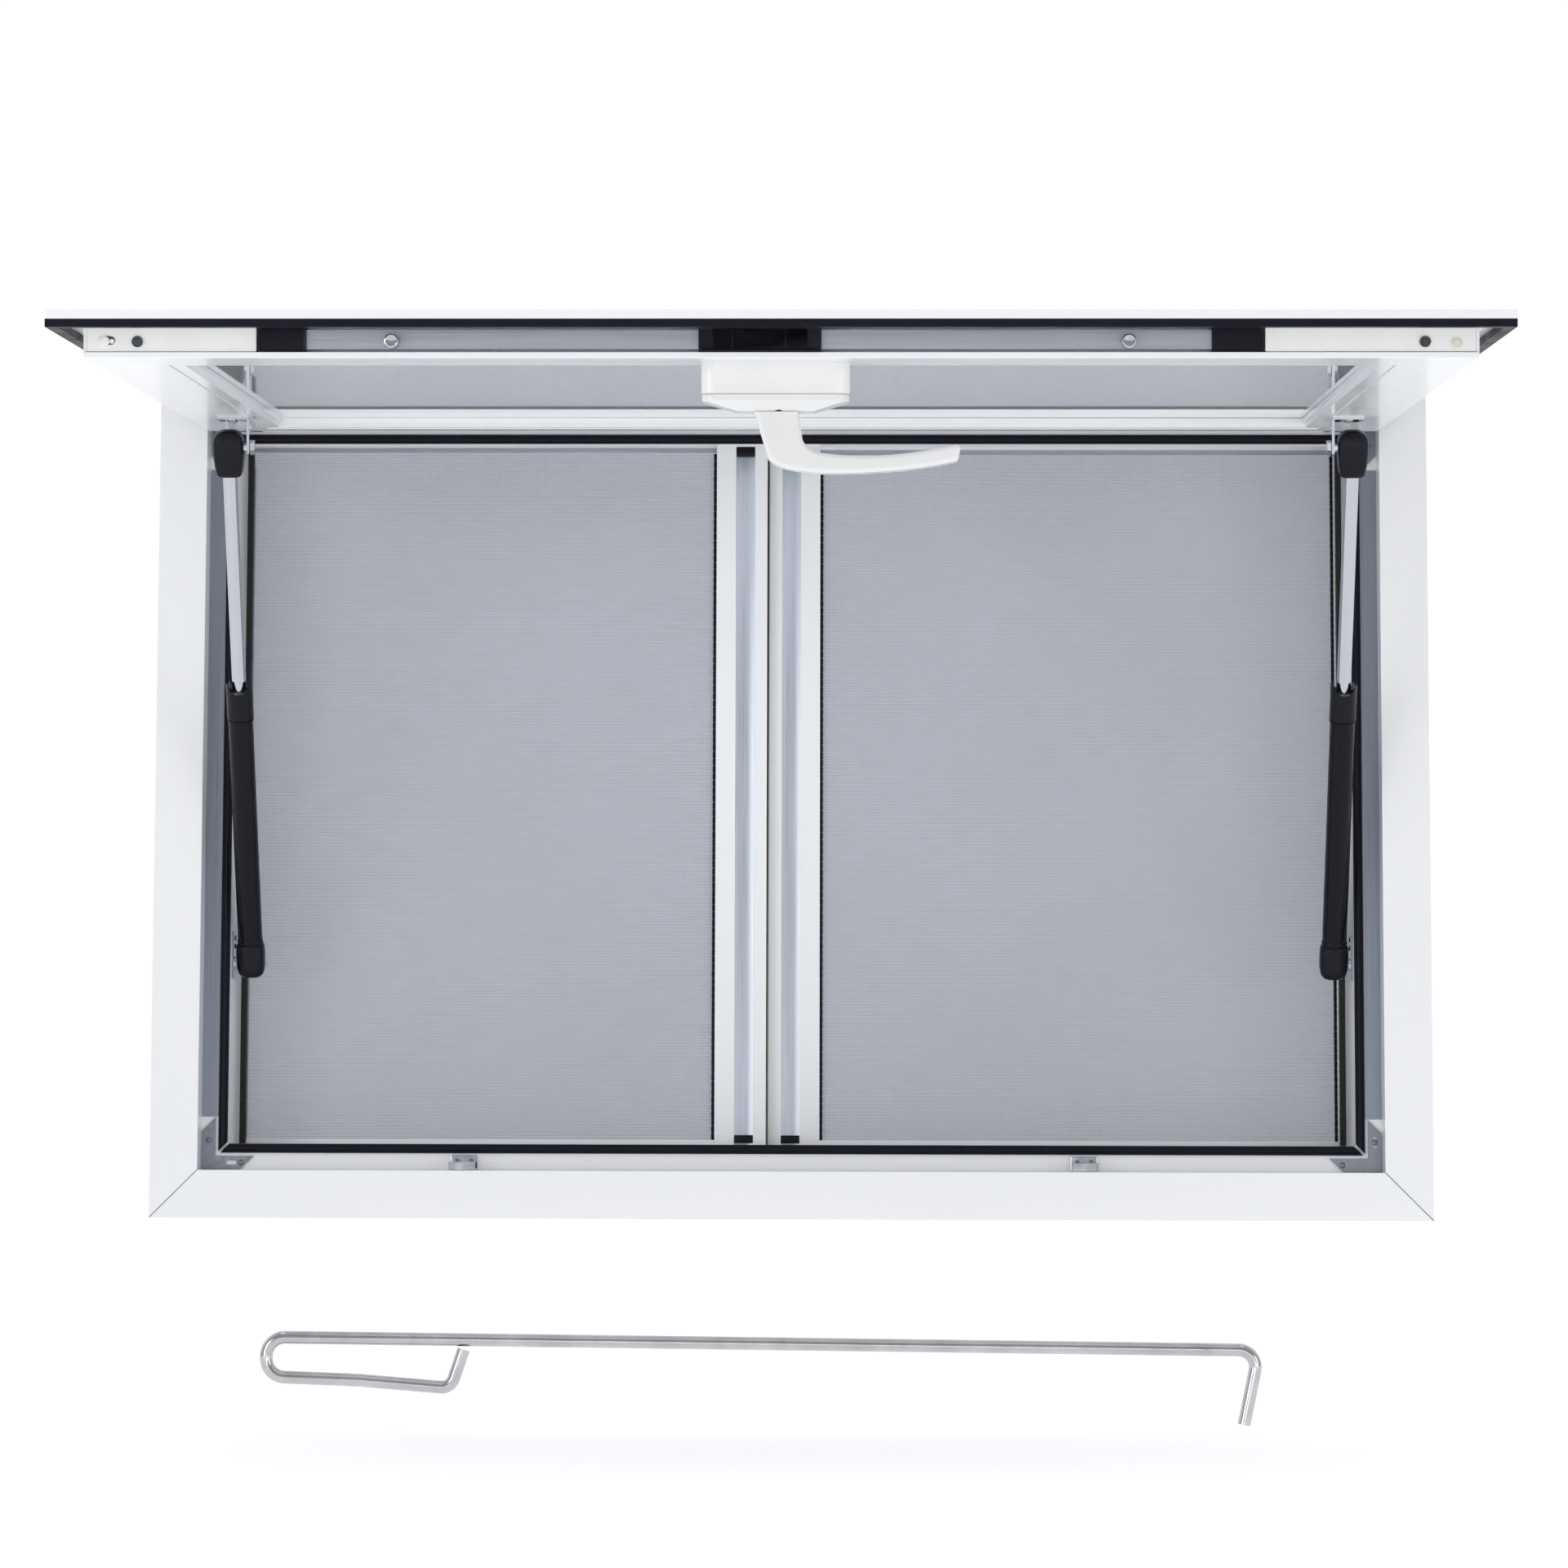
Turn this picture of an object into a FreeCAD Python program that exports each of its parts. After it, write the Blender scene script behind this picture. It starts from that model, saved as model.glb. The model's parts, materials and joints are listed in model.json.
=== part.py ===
"""Serving window: outer frame, awning sash on two gas struts with a turning-lever lock,
two sliding insect screens, two sliding glass sashes and a loose drag hook.

Shop coordinates: X to the right, Y into the building (0 is the flange's front face), Z up
(0 is the frame's bottom edge).  Every finished piece is then moved by DATUM, so that the part's
origin lies on the flange's back face, in the middle of its bottom lap.
"""
import FreeCAD, Part

import math
import os
import re

from FreeCAD import Placement, Rotation, Vector

doc = FreeCAD.newDocument("ServingWindow")
dims = doc.addObject("Spreadsheet::Sheet", "Dims")

SIZES = {
    # outer frame
    "frame_width": 914.4,
    "frame_height": 614.0,
    "flange_width": 34.2,
    "flange_thick": 2.2,
    "wall": 2.0,
    "lap_width": 12.2,          # flange that stands outside the body
    "rebate_depth": 20.8,
    "reveal": 53.1,             # frame edge to the clear opening
    "front_depth": 84.6,        # depth of the front extrusions
    "head_ledge": 32.0,         # depth of the ledge under the head
    "head_ceiling": 28.0,       # frame edge to the head's ceiling
    "sill_bed": 40.0,           # frame edge to the bed that the sashes slide on
    "seal_width": 6.6,
    "seal_high": 4.0,
    "seal_bulb": 1.9,
    "seal_gap": 1.4,
    # rear tracks
    "track_first": 91.2,
    "track_pitch": 10.0,
    "fin": 1.2,
    "fin_high": 11.0,
    "track_depth": 126.8,
    "fixing_hole": 2.25,
    "fixing_spacing": 360.0,
    # sliding sashes
    "sash_thick": 7.6,
    "sash_bottom": 41.0,
    "sash_top": 584.0,
    "sash_outer": 442.9,        # middle to the outer edge of a sash pushed home
    "sash_rail_low": 16.5,
    "sash_rail_high": 14.0,
    "sash_stile": 6.0,
    "meeting_band": 14.4,
    "meeting_groove": 13.8,
    "meeting_edge": 9.4,
    "groove_deep": 4.5,
    "meeting_x": 18.5,          # the meeting line is this far left of the middle
    "meeting_gap": 1.4,
    "glass_overlap": 11.6,
    "mesh_thick": 0.8,
    "glass_thick": 4.0,
    "pile_width": 4.1,
    "pile_deep": 3.0,
    # awning sash, measured from the hinge axis: run is down the sash, deep is into the rebate
    "hinge_front": 5.0,         # hinge axis to the flange's front face
    "hinge_height": 587.0,
    "open_angle": 85.0,
    "bead_radius": 2.5,
    "curl_inner": 2.9,
    "curl_outer": 4.5,
    "curl_half": 436.0,
    "awning_half": 420.5,
    "awning_run": 546.0,
    "awning_start": 10.0,
    "lip": 20.0,
    "lip_front": -5.5,
    "lip_back": -0.1,
    "awning_back": 21.5,
    "rail_face": 45.0,
    "top_rail_face": 18.0,
    "groove_floor": 12.0,
    "bead_face": 12.0,
    "panel_front": 13.0,
    "panel_thick": 1.5,
    "rib": 6.0,
    "edge_seal_width": 7.0,
    "edge_seal_back": 4.7,
    # lock: X positions and the gear
    "pinion_x": -1.0,
    "pinion_run": 516.0,
    "pinion_pitch": 11.5,
    "gear_module": 1.0,
    "gear_slack": 0.3,
    "gear_low": 6.0,
    "gear_high": 12.0,
    "bar_low": 4.0,
    "bar_high": 16.0,
    "bar_left_end": -312.0,
    "bar_right_end": 272.0,
    "roller_left": -234.0,
    "roller_right": 210.0,
    "roller_radius": 4.15,
    "roller_stand": 5.4,
    "spindle_radius": 4.0,
    "shaft_clearance": 0.05,
    # handle
    "base_half": 45.3,
    "base_left": 48.3,          # spindle to the base's left end is this less pinion_x
    "base_deep": 26.0,
    "base_run": 514.0,
    "base_high": 19.5,
    "base_corner": 8.0,
    "cover_straight": 4.0,
    "cover_high": 10.5,
    "cover_taper": 22.0,
    "cover_inset": 0.4,         # the seam between base and cover
    "bush_radius": 8.0,
    "lever_gap": 0.3,
    "lever_half": 8.5,
    "lever_edge": 2.6,
    # struts, measured along the strut from the lower pivot
    "strut_x": 391.0,
    "lower_pivot_deep": 36.0,
    "lower_pivot_high": 184.0,
    "upper_pivot_run": 118.1,
    "upper_pivot_back": 41.9,
    "tube_radius": 8.8,
    "tube_bore": 7.6,
    "tube_start": 14.0,
    "tube_end": 186.0,
    "collar_end": 212.0,
    "collar_radius": 9.4,
    "rod_radius": 5.0,
    "socket_radius": 10.0,
    "socket_half": 10.0,
    "ball_radius": 5.0,
    "rod_inside": 80.0,         # rod below the collar's end when the strut is full out
    "piston_length": 14.0,
    # keeper and corner plate
    "keeper_width": 19.0,
    "keeper_high": 11.0,
    "plate_leg": 9.5,
    "plate_long": 37.0,
    "plate_thick": 1.5,
    # drag hook
    "hook_wire": 4.7,
    "hook_drop": 86.5,
}
for row, (alias, value) in enumerate(SIZES.items(), start=1):
    dims.set(f"A{row}", alias)
    dims.set(f"B{row}", str(value))
    dims.setAlias(f"B{row}", alias)
doc.recompute()

WORDS = re.compile(r"\b(" + "|".join(sorted(SIZES, key=len, reverse=True)) + r")\b")
Y_AXIS = Vector(0, 1, 0)
X_AXIS = Vector(1, 0, 0)
finished = {}


def size(alias):
    """The sheet's value of one driving dimension, in millimetres or degrees."""
    return float(dims.get(alias))


def linked(text):
    """An expression with each alias written as a reference to the sheet."""
    return WORDS.sub(r"Dims.\1", str(text))


def bind(thing, **expressions):
    for path, text in expressions.items():
        thing.setExpression(path.replace("__", "."), linked(text))


def block(x, y, z, name="Block"):
    """A box between two expressions along each axis."""
    box = doc.addObject("Part::Box", name)
    bind(box, Length=f"({x[1]}) - ({x[0]})", Width=f"({y[1]}) - ({y[0]})", Height=f"({z[1]}) - ({z[0]})")
    bind(box, Placement__Base__x=x[0], Placement__Base__y=y[0], Placement__Base__z=z[0])
    return box


def cylinder(radius, start, length, axis="z", name="Round"):
    """A cylinder from a start point (three expressions) along one axis."""
    turn = {"x": Rotation(Y_AXIS, 90), "y": Rotation(X_AXIS, -90), "z": Rotation()}[axis]
    item = doc.addObject("Part::Cylinder", name)
    item.Placement = Placement(Vector(), turn)
    bind(item, Radius=radius, Height=length)
    bind(item, Placement__Base__x=start[0], Placement__Base__y=start[1], Placement__Base__z=start[2])
    return item


def ball(radius, centre, name="Ball"):
    item = doc.addObject("Part::Sphere", name)
    bind(item, Radius=radius)
    bind(item, Placement__Base__x=centre[0], Placement__Base__y=centre[1], Placement__Base__z=centre[2])
    return item


def fuse(*parts):
    joined = doc.addObject("Part::MultiFuse", "Joined")
    joined.Shapes = list(parts)
    joined.Refine = True
    return joined


def cut(base, *tools):
    result = doc.addObject("Part::Cut", "Cut")
    result.Base = base
    result.Tool = tools[0] if len(tools) == 1 else fuse(*tools)
    result.Refine = True
    return result


def common(base, tool):
    result = doc.addObject("Part::Common", "Trimmed")
    result.Base = base
    result.Tool = tool
    result.Refine = True
    return result


def group(*parts):
    """Separate solids that share one node."""
    bundle = doc.addObject("Part::Compound", "Group")
    bundle.Links = list(parts)
    return bundle


def mirrored(part):
    """The same piece on the other side of the window's middle."""
    other = doc.addObject("Part::Mirroring", "Mirrored")
    other.Source = part
    other.Normal = X_AXIS
    return other


def rounded(part, radius, picks):
    """Fillet the edges of a part whose middle and direction satisfy picks(edge)."""
    doc.recompute()
    edges = [(i, radius, radius) for i, e in enumerate(part.Shape.Edges, start=1) if picks(e)]
    result = doc.addObject("Part::Fillet", "Rounded")
    result.Base = part
    result.Edges = edges
    return result


def feature(shape, name="Shaped"):
    item = doc.addObject("Part::Feature", name)
    item.Shape = shape
    return item


DATUM = Placement(Vector(0, -size("flange_thick"), -size("lap_width") / 2), Rotation())
AWNING = DATUM * Placement(
    Vector(0, -size("hinge_front"), size("hinge_height")), Rotation(X_AXIS, -size("open_angle"))
)


def keep(label, part, place=DATUM):
    """Name a finished piece and put it in the part's frame."""
    if label in finished:
        raise ValueError("two pieces are called " + label)
    if part.ExpressionEngine:
        # its own placement is bound to the sheet, so the move belongs to a holder round it
        part = group(part)
    part.Placement = place * part.Placement
    part.Label = label
    finished[label] = part
    return part


# ---------------------------------------------------------------- mitred members

def trapezoid(length, inward, deep, low_mitre=True, high_mitre=True):
    """A prism that trims a member's ends at 45 degrees; it gets shorter inward."""
    wedge = doc.addObject("Part::Wedge", "Mitre")
    bind(wedge, Xmin=f"-({length}) / 2", Xmax=f"({length}) / 2")
    bind(wedge, X2min=f"-({length}) / 2 + {inward * low_mitre}", X2max=f"({length}) / 2 - {inward * high_mitre}")
    bind(wedge, Ymin="0", Ymax=str(inward), Zmin=f"-({deep[1]})", Zmax=f"-({deep[0]})")
    bind(wedge, Z2min=f"-({deep[1]})", Z2max=f"-({deep[0]})")
    wedge.Placement = Placement(Vector(), Rotation(X_AXIS, 90))
    return wedge


MITRE_REACH = 100


def member(length, plates, deep=(-20, 200), low_mitre=True, high_mitre=True):
    """Plates of one extrusion, each (deep from, to, inward from, to), mitred at the ends."""
    solids = [block((f"-({length}) / 2", f"({length}) / 2"), p[0:2], p[2:4], "Plate") for p in plates]
    body = fuse(*solids) if len(solids) > 1 else solids[0]
    return common(body, trapezoid(length, MITRE_REACH, deep, low_mitre, high_mitre))


def around(part, side, width, height):
    """Put a member on one side of a width by height rectangle that stands on the X axis."""
    places = {
        "sill": Placement(Vector(), Rotation()),
        "head": Placement(Vector(0, 0, height), Rotation(Y_AXIS, 180)),
        "left": Placement(Vector(-width / 2, 0, height / 2), Rotation(Y_AXIS, 90)),
        "right": Placement(Vector(width / 2, 0, height / 2), Rotation(Y_AXIS, -90)),
    }
    part.Placement = places[side]
    return part


def frame_member(side, plates):
    length = "frame_width" if side in ("sill", "head") else "frame_height"
    return around(member(length, plates), side, size("frame_width"), size("frame_height"))


# ---------------------------------------------------------------- outer frame

def front_frame():
    flange = ("0", "flange_thick", "0", "flange_width")
    rebate_wall = ("flange_thick", "rebate_depth + wall", "flange_width - wall", "flange_width")
    rebate_floor = ("rebate_depth", "rebate_depth + wall", "flange_width", "reveal")
    outer_wall = ("flange_thick", "front_depth", "lap_width", "lap_width + wall")
    inner_wall = ("rebate_depth + wall", "front_depth", "reveal - wall", "reveal")
    shared = [flange, rebate_wall, rebate_floor, outer_wall]
    ledge = [
        ("rebate_depth + wall", "head_ledge", "reveal - wall", "reveal"),
        ("head_ledge - wall", "head_ledge", "head_ceiling - wall", "reveal - wall"),
        ("head_ledge", "front_depth", "head_ceiling - wall", "head_ceiling"),
    ]
    keep("frame_sill", frame_member("sill", shared + [inner_wall]))
    keep("frame_head", frame_member("head", shared + ledge))
    keep("frame_jamb_left", frame_member("left", shared + [inner_wall]))
    keep("frame_jamb_right", frame_member("right", shared + [inner_wall]))


def track_plates(bed, bed_inner):
    """A channel with fins between four tracks; bed is its floor, measured from the frame edge."""
    walls = [
        ("front_depth", "track_depth", "lap_width", "lap_width + wall"),
        ("front_depth", "front_depth + 1.6", "lap_width + wall", f"{bed} + fin_high"),
        ("track_depth - fin", "track_depth", "lap_width + wall", f"{bed} + fin_high"),
        ("front_depth + 1.6", "track_depth - fin", bed_inner, bed),
    ]
    for gap in range(3):
        middle = f"track_first + track_pitch * {gap + 0.5}"
        walls.append((f"{middle} - fin / 2", f"{middle} + fin / 2", bed, f"{bed} + fin_high"))
    return walls


def rear_frame():
    keep("slider_sill", frame_member("sill", track_plates("sill_bed", "sill_bed - wall")))
    keep("slider_head", frame_member("head", track_plates("head_ceiling", "head_ceiling - wall")))
    pocket = [
        ("front_depth", "track_depth", "lap_width", "lap_width + wall"),
        ("front_depth", "front_depth + 1.6", "lap_width + wall", "reveal"),
        ("track_depth - fin", "track_depth", "lap_width + wall", "reveal"),
    ]
    jambs = []
    for side, sign in (("left", -1), ("right", 1)):
        jamb = frame_member(side, pocket)
        holes = [
            cylinder(
                "fixing_hole",
                (f"{sign} * (frame_width / 2 - lap_width) - 5", "track_first + track_pitch * 2",
                 f"frame_height / 2 + {end} * fixing_spacing / 2"),
                "10", "x",
            )
            for end in (-1, 1)
        ]
        jambs.append(cut(jamb, *holes))
    keep("slider_jambs", group(*jambs))


def seals():
    strips = []
    for side in ("sill", "head", "left", "right"):
        length = "frame_width" if side in ("sill", "head") else "frame_height"
        inner = "reveal - seal_width"
        foot = ("rebate_depth - seal_high + seal_bulb", "rebate_depth", inner, "reveal")
        strip = block((f"-({length}) / 2", f"({length}) / 2"), foot[0:2], foot[2:4], "SealFoot")
        bulb = cylinder(
            "seal_bulb", (f"-({length}) / 2", "rebate_depth - seal_high + seal_bulb", "reveal - seal_width / 2"),
            length, "x",
        )
        shape = common(fuse(strip, bulb), trapezoid(f"{length} - 2 * seal_gap", MITRE_REACH, (0, 40)))
        strips.append(around(shape, side, size("frame_width"), size("frame_height")))
    keep("frame_seal", group(*strips))
    pile = block(
        ("frame_width / 2 - reveal - pile_width", "frame_width / 2 - reveal"),
        ("front_depth - pile_deep", "front_depth"),
        ("reveal + 1", "frame_height - head_ceiling - 1"), "Pile",
    )
    keep("jamb_pile_strips", group(pile, mirrored(pile)))


def corner_plate_body():
    """An L of sheet steel with slanted ends and one slotted hole, sketched on the XZ plane."""
    body = doc.addObject("PartDesign::Body", "CornerPlate")
    plane = next(f for f in body.Origin.OriginFeatures if f.Role == "XZ_Plane")
    outline = body.newObject("Sketcher::SketchObject", "CornerOutline")
    outline.AttachmentSupport = (plane, [""])
    outline.MapMode = "FlatFace"
    leg = size("plate_leg")
    long = size("plate_long")
    corners = [(0, 0), (long - leg, 0), (long, leg), (leg, leg), (leg, long), (0, long - leg)]
    for start, end in zip(corners, corners[1:] + corners[:1]):
        outline.addGeometry(Part.LineSegment(Vector(*start, 0), Vector(*end, 0)))
    pad = body.newObject("PartDesign::Pad", "CornerPad")
    pad.Profile = outline
    bind(pad, Length="plate_thick")
    doc.recompute()
    slot = body.newObject("Sketcher::SketchObject", "CornerSlot")
    slot.AttachmentSupport = (plane, [""])
    slot.MapMode = "FlatFace"
    slot_start, slot_end, slot_radius = long / 2, long / 2 + 5, 1.6
    middle = leg / 2
    arcs = ((slot_start, 90, 270), (slot_end, -90, 90))
    for centre, first, last in arcs:
        circle = Part.Circle(Vector(centre, middle, 0), Vector(0, 0, 1), slot_radius)
        slot.addGeometry(Part.ArcOfCircle(circle, math.radians(first), math.radians(last)))
    for side in (-slot_radius, slot_radius):
        ends = (Vector(slot_start, middle + side, 0), Vector(slot_end, middle + side, 0))
        slot.addGeometry(Part.LineSegment(*ends))
    pocket = body.newObject("PartDesign::Pocket", "CornerPocket")
    pocket.Profile = slot
    pocket.Midplane = True
    bind(pocket, Length="plate_thick * 4")
    doc.recompute()
    return body


def corner_plates():
    source = corner_plate_body()
    offset = size("flange_width") + 0.6
    floor = size("rebate_depth")
    half = size("frame_width") / 2
    plates = []
    for right in (False, True):
        for top in (False, True):
            turn = Rotation(Y_AXIS, {(False, False): 0, (True, False): -90, (True, True): 180, (False, True): 90}[right, top])
            place = Vector(
                (half - offset) * (1 if right else -1), floor, size("frame_height") - offset if top else offset
            )
            plates.append(feature(source.Shape.copy(), "CornerPlate"))
            plates[-1].Placement = Placement(place, turn) * plates[-1].Placement
    keep("corner_plates", group(*plates))


def keepers():
    pieces, screws = [], []
    for middle in ("roller_left", "roller_right"):
        across = (f"{middle} - keeper_width / 2", f"{middle} + keeper_width / 2")
        back = block(across, ("rebate_depth - 1.5", "rebate_depth"), ("flange_width + 0.2", "flange_width + keeper_high"))
        foot = block(across, ("0.8", "rebate_depth - 1.5"), ("flange_width + 0.2", "flange_width + 1.4"))
        hook = block(across, ("0.8", "2.0"), ("flange_width + 1.4", "flange_width + 6.2"))
        pieces.append(fuse(back, foot, hook))
        for side in (-5, 5):
            start = (f"{middle} + {side}", "rebate_depth - 2.6", "flange_width + keeper_high - 4.4")
            screws.append(cylinder("1.9", start, "1.1", "y"))
    keep("sill_keepers", group(*pieces))
    keep("keeper_screws", group(*screws))


def hinge_rail():
    """Leaf on the flange, with a neck that carries the round bead the awning turns on."""
    half = ("-curl_half", "curl_half")
    leaf = block(half, ("-2", "0"), ("hinge_height + 5", "hinge_height + 24"))
    shelf = block(half, ("-hinge_front - 0.6", "-2"), ("hinge_height + 5", "hinge_height + 6.4"))
    neck = block(half, ("-hinge_front - 0.6", "-hinge_front + 0.6"), ("hinge_height + 1.5", "hinge_height + 5"))
    bead = cylinder("bead_radius", ("-curl_half", "-hinge_front", "hinge_height"), "2 * curl_half", "x")
    keep("hinge_rail", fuse(leaf, shelf, neck, bead))
    screws = [cylinder("3.2", (str(80 * step), "-3.4", "hinge_height + 16"), "1.4", "y") for step in range(-5, 6)]
    keep("hinge_rail_screws", group(*screws))


# ---------------------------------------------------------------- awning sash (local: Z is minus run)

AWNING_RUN = "awning_run + lip"
AWNING_WIDTH = "2 * (awning_half + lip)"


def awning_member(side, plates):
    """A member placed round the awning's lip line; stiles are square at the hinge end."""
    run = size("awning_run") + size("lip")
    half = size("awning_half") + size("lip")
    start = size("awning_start")
    if side == "bottom":
        part = member(AWNING_WIDTH, plates, (-20, 60))
        part.Placement = Placement(Vector(0, 0, -run), Rotation())
        return part
    part = member(f"{AWNING_RUN} - awning_start", plates, (-20, 60), side == "right", side == "left")
    sign = 1 if side == "right" else -1
    place = Vector(sign * half, 0, -(run + start) / 2)
    part.Placement = Placement(place, Rotation(Y_AXIS, -90 * sign))
    return part


def rail_section(face):
    """Lip, outer web, inner web and back web; face is how wide the box is."""
    inner = f"lip + {face}"
    return [
        ("lip_front", "lip_back", "0", "lip + 1"),
        ("lip_front", "lip_front + wall", "lip", inner),
        ("awning_back - wall", "awning_back", "lip", inner),
        ("lip_front", "awning_back", f"{inner} - wall", inner),
    ]


def awning_frame():
    grooved = rail_section("rail_face") + [
        ("lip_front", "awning_back", "lip + groove_floor", "lip + groove_floor + wall"),
        ("lip_back", "1.7", "lip", "lip + groove_floor"),
        ("17.8", "awning_back", "lip", "lip + groove_floor"),
        ("lip_front", "lip_back", "lip", "lip + groove_floor"),
    ]
    rail = awning_member("bottom", grooved)
    along = "-(awning_run + lip)"
    gear_slot = block(("-38", "36"), ("5", "13"), (f"{along} + lip + 10", f"{along} + lip + 18"))
    spindle_hole = cylinder("6", ("pinion_x", "19", "-pinion_run"), "4", "y")
    keep("awning_bottom_rail", cut(rail, gear_slot, spindle_hole), AWNING)
    closed = rail_section("rail_face") + [("lip_front", "awning_back", "lip", "lip + wall")]
    keep("awning_stile_left", awning_member("left", closed), AWNING)
    keep("awning_stile_right", awning_member("right", closed), AWNING)
    inner_half = "awning_half - rail_face"
    start = "-awning_start"
    floor = "-awning_start - top_rail_face"
    between = (f"-({inner_half})", inner_half)
    strip = block(
        ("-awning_half - lip", "awning_half + lip"), ("lip_front", "lip_front + 2.5"), (start, "-3.2"), "Strip"
    )
    webs = [
        block(between, ("lip_front", "lip_front + wall"), (floor, start)),
        block(between, ("awning_back - wall", "awning_back"), (floor, start)),
        block(between, ("lip_front", "awning_back"), (f"{start} - wall", start)),
        block(between, ("lip_front", "awning_back"), (floor, f"{floor} + wall")),
    ]
    keep("awning_top_rail", fuse(strip, curl(), *webs), AWNING)


def curl():
    """Open ring round the hinge bead: 225 degrees, leaving a way past for the neck."""
    opening_start, covered = 200, 225
    outer = doc.addObject("Part::Cylinder", "CurlOuter")
    bind(outer, Radius="curl_outer", Height="2 * curl_half", Angle=str(covered))
    ring = cut(outer, cylinder("curl_inner", ("0", "0", "-1"), "2 * curl_half + 2"))
    upright = Rotation(Vector(0, 1, 0), Vector(0, 0, 1), Vector(1, 0, 0), "ZXY")
    ring.Placement = Placement(Vector(-size("curl_half"), 0, 0), upright * Rotation(Vector(0, 0, 1), opening_start))
    return ring


def awning_panels():
    half = "awning_half - rail_face"
    across = (f"-({half})", half)
    along = ("-(awning_run - rail_face)", "-(awning_start + top_rail_face)")
    outer_front = "lip_front + 0.8"
    keep("outer_skin", block(across, (outer_front, f"{outer_front} + panel_thick"), along), AWNING)
    keep("inner_panel", block(across, ("panel_front", "panel_front + panel_thick"), along), AWNING)
    ribs = [
        block((f"{middle} - rib / 2", f"{middle} + rib / 2"), (f"{outer_front} + panel_thick", "panel_front"), along)
        for middle in (-190, 0, 190)
    ]
    keep("panel_ribs", group(*ribs), AWNING)
    keep("glazing_beads", glazing_beads(), AWNING)


def glazing_beads():
    """Four mitred beads round the inner panel, each with a sloped inner shoulder."""
    width = "2 * (awning_half - rail_face)"
    height = "awning_run - rail_face - awning_start - top_rail_face"
    back = "panel_front + panel_thick"
    span = {
        "sill": width, "head": width, "left": height, "right": height,
    }
    plates = [(back, "awning_back - 0.6", "0", "bead_face - 3"), (back, "awning_back - 3", "bead_face - 3", "bead_face")]
    numbers = (2 * (size("awning_half") - size("rail_face")),
               size("awning_run") - size("rail_face") - size("awning_start") - size("top_rail_face"))
    beads = [around(member(span[side], plates, (0, 60)), side, *numbers) for side in span]
    for bead in beads:
        drop = Placement(Vector(0, 0, -(size("awning_run") - size("rail_face"))), Rotation())
        bead.Placement = drop * bead.Placement
    return group(*beads)


def edge_seals():
    plates = [("lip_back", "edge_seal_back", "0", "edge_seal_width")]
    strips = [awning_member(side, plates) for side in ("bottom", "left", "right")]
    keep("awning_edge_seal", group(*strips), AWNING)


# ---------------------------------------------------------------- lock in the bottom rail

def run_span(low, high):
    """Awning-local Z span from two distances inside the rail's outer face."""
    return (f"-awning_run + {low}", f"-awning_run + {high}")


def channel_block(x, low, bevel=0):
    """A cover with two legs that straddles the drive bars."""
    plate = block(x, ("1.9", "17.6"), run_span(low, low + 2.4))
    legs = [block(x, span, run_span(low + 2.4, 11.8)) for span in (("1.9", "3.4"), ("16.4", "17.6"))]
    body = fuse(plate, *legs)
    if not bevel:
        return body
    return rounded(body, bevel, is_short_upright)


def is_short_upright(edge):
    """True for a cover's two outer end edges, which run across the groove."""
    box = edge.BoundBox
    at_front = box.ZMax < -size("awning_run") + 0.5
    across = box.YLength > 10 and box.XLength < 0.1
    return at_front and across


def lock_fixed():
    covers = []
    for span in (("-(awning_half - 2)", "-316"), ("292", "awning_half - 2")):
        covers.append(block(span, ("2.1", "17.4"), run_span(1.2, 11.8), "EndCover"))
    keep("lock_end_covers", group(*covers), AWNING)
    guides = [channel_block(("-315", "-286"), 0.4, 1.2), channel_block(("260", "291"), 0.4, 1.2)]
    keep("guide_blocks", group(*guides), AWNING)
    keep("gearbox_cover", channel_block(("-49", "25"), -0.6, 1.8), AWNING)
    body = block(("pinion_x - 18", "pinion_x + 18"), ("lip_front + wall", "4"), ("-pinion_run - 9", "-pinion_run + 9"))
    bore = cylinder("spindle_radius + shaft_clearance", ("pinion_x", "1", "-pinion_run"), "10", "y")
    keep("gearbox_body", cut(body, bore), AWNING)
    screws = []
    for x in ("-388", "388"):
        head = cylinder("3", (x, "11.5", "-awning_run + 0.2"), "1")
        socket = cylinder("1.5", (x, "11.5", "-awning_run + 0.1"), "0.5")
        screws.append(cut(head, socket))
    keep("rail_screws", group(*screws), AWNING)


def lock_moving():
    bars = [
        block(("bar_left_end", "pinion_x - 16"), ("bar_low", "bar_high"), run_span(3.2, 6.2)),
        block(("pinion_x - 15.6", "bar_right_end"), ("bar_low", "bar_high"), run_span(3.2, 6.2)),
    ]
    keep("drive_bars", group(*bars), AWNING)
    keep("lock_rack", feature(rack_shape(), "Rack"), AWNING)
    rollers = []
    for x in ("roller_left", "roller_right"):
        stem = cylinder("2.2", (x, "11.5", "-awning_run"), "3.2")
        wheel = cylinder("roller_radius", (x, "11.5", "-awning_run - roller_stand"), "roller_stand")
        recess = cylinder("1.6", (x, "11.5", "-awning_run - roller_stand - 0.1"), "1.6")
        rollers.append(cut(fuse(stem, wheel), recess))
    keep("lock_rollers", group(*rollers), AWNING)


def tooth_half_angle(radius):
    """Half the angle that an involute tooth of the pinion fills at a radius."""
    pressure = math.radians(20)
    pitch = size("pinion_pitch")
    base = pitch * math.cos(pressure)

    def involute(angle):
        return math.tan(angle) - angle

    thick = math.pi * size("gear_module") / 2 - size("gear_slack")
    here = math.acos(min(1, base / radius))
    return thick / (2 * pitch) + involute(pressure) - involute(here)


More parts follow.
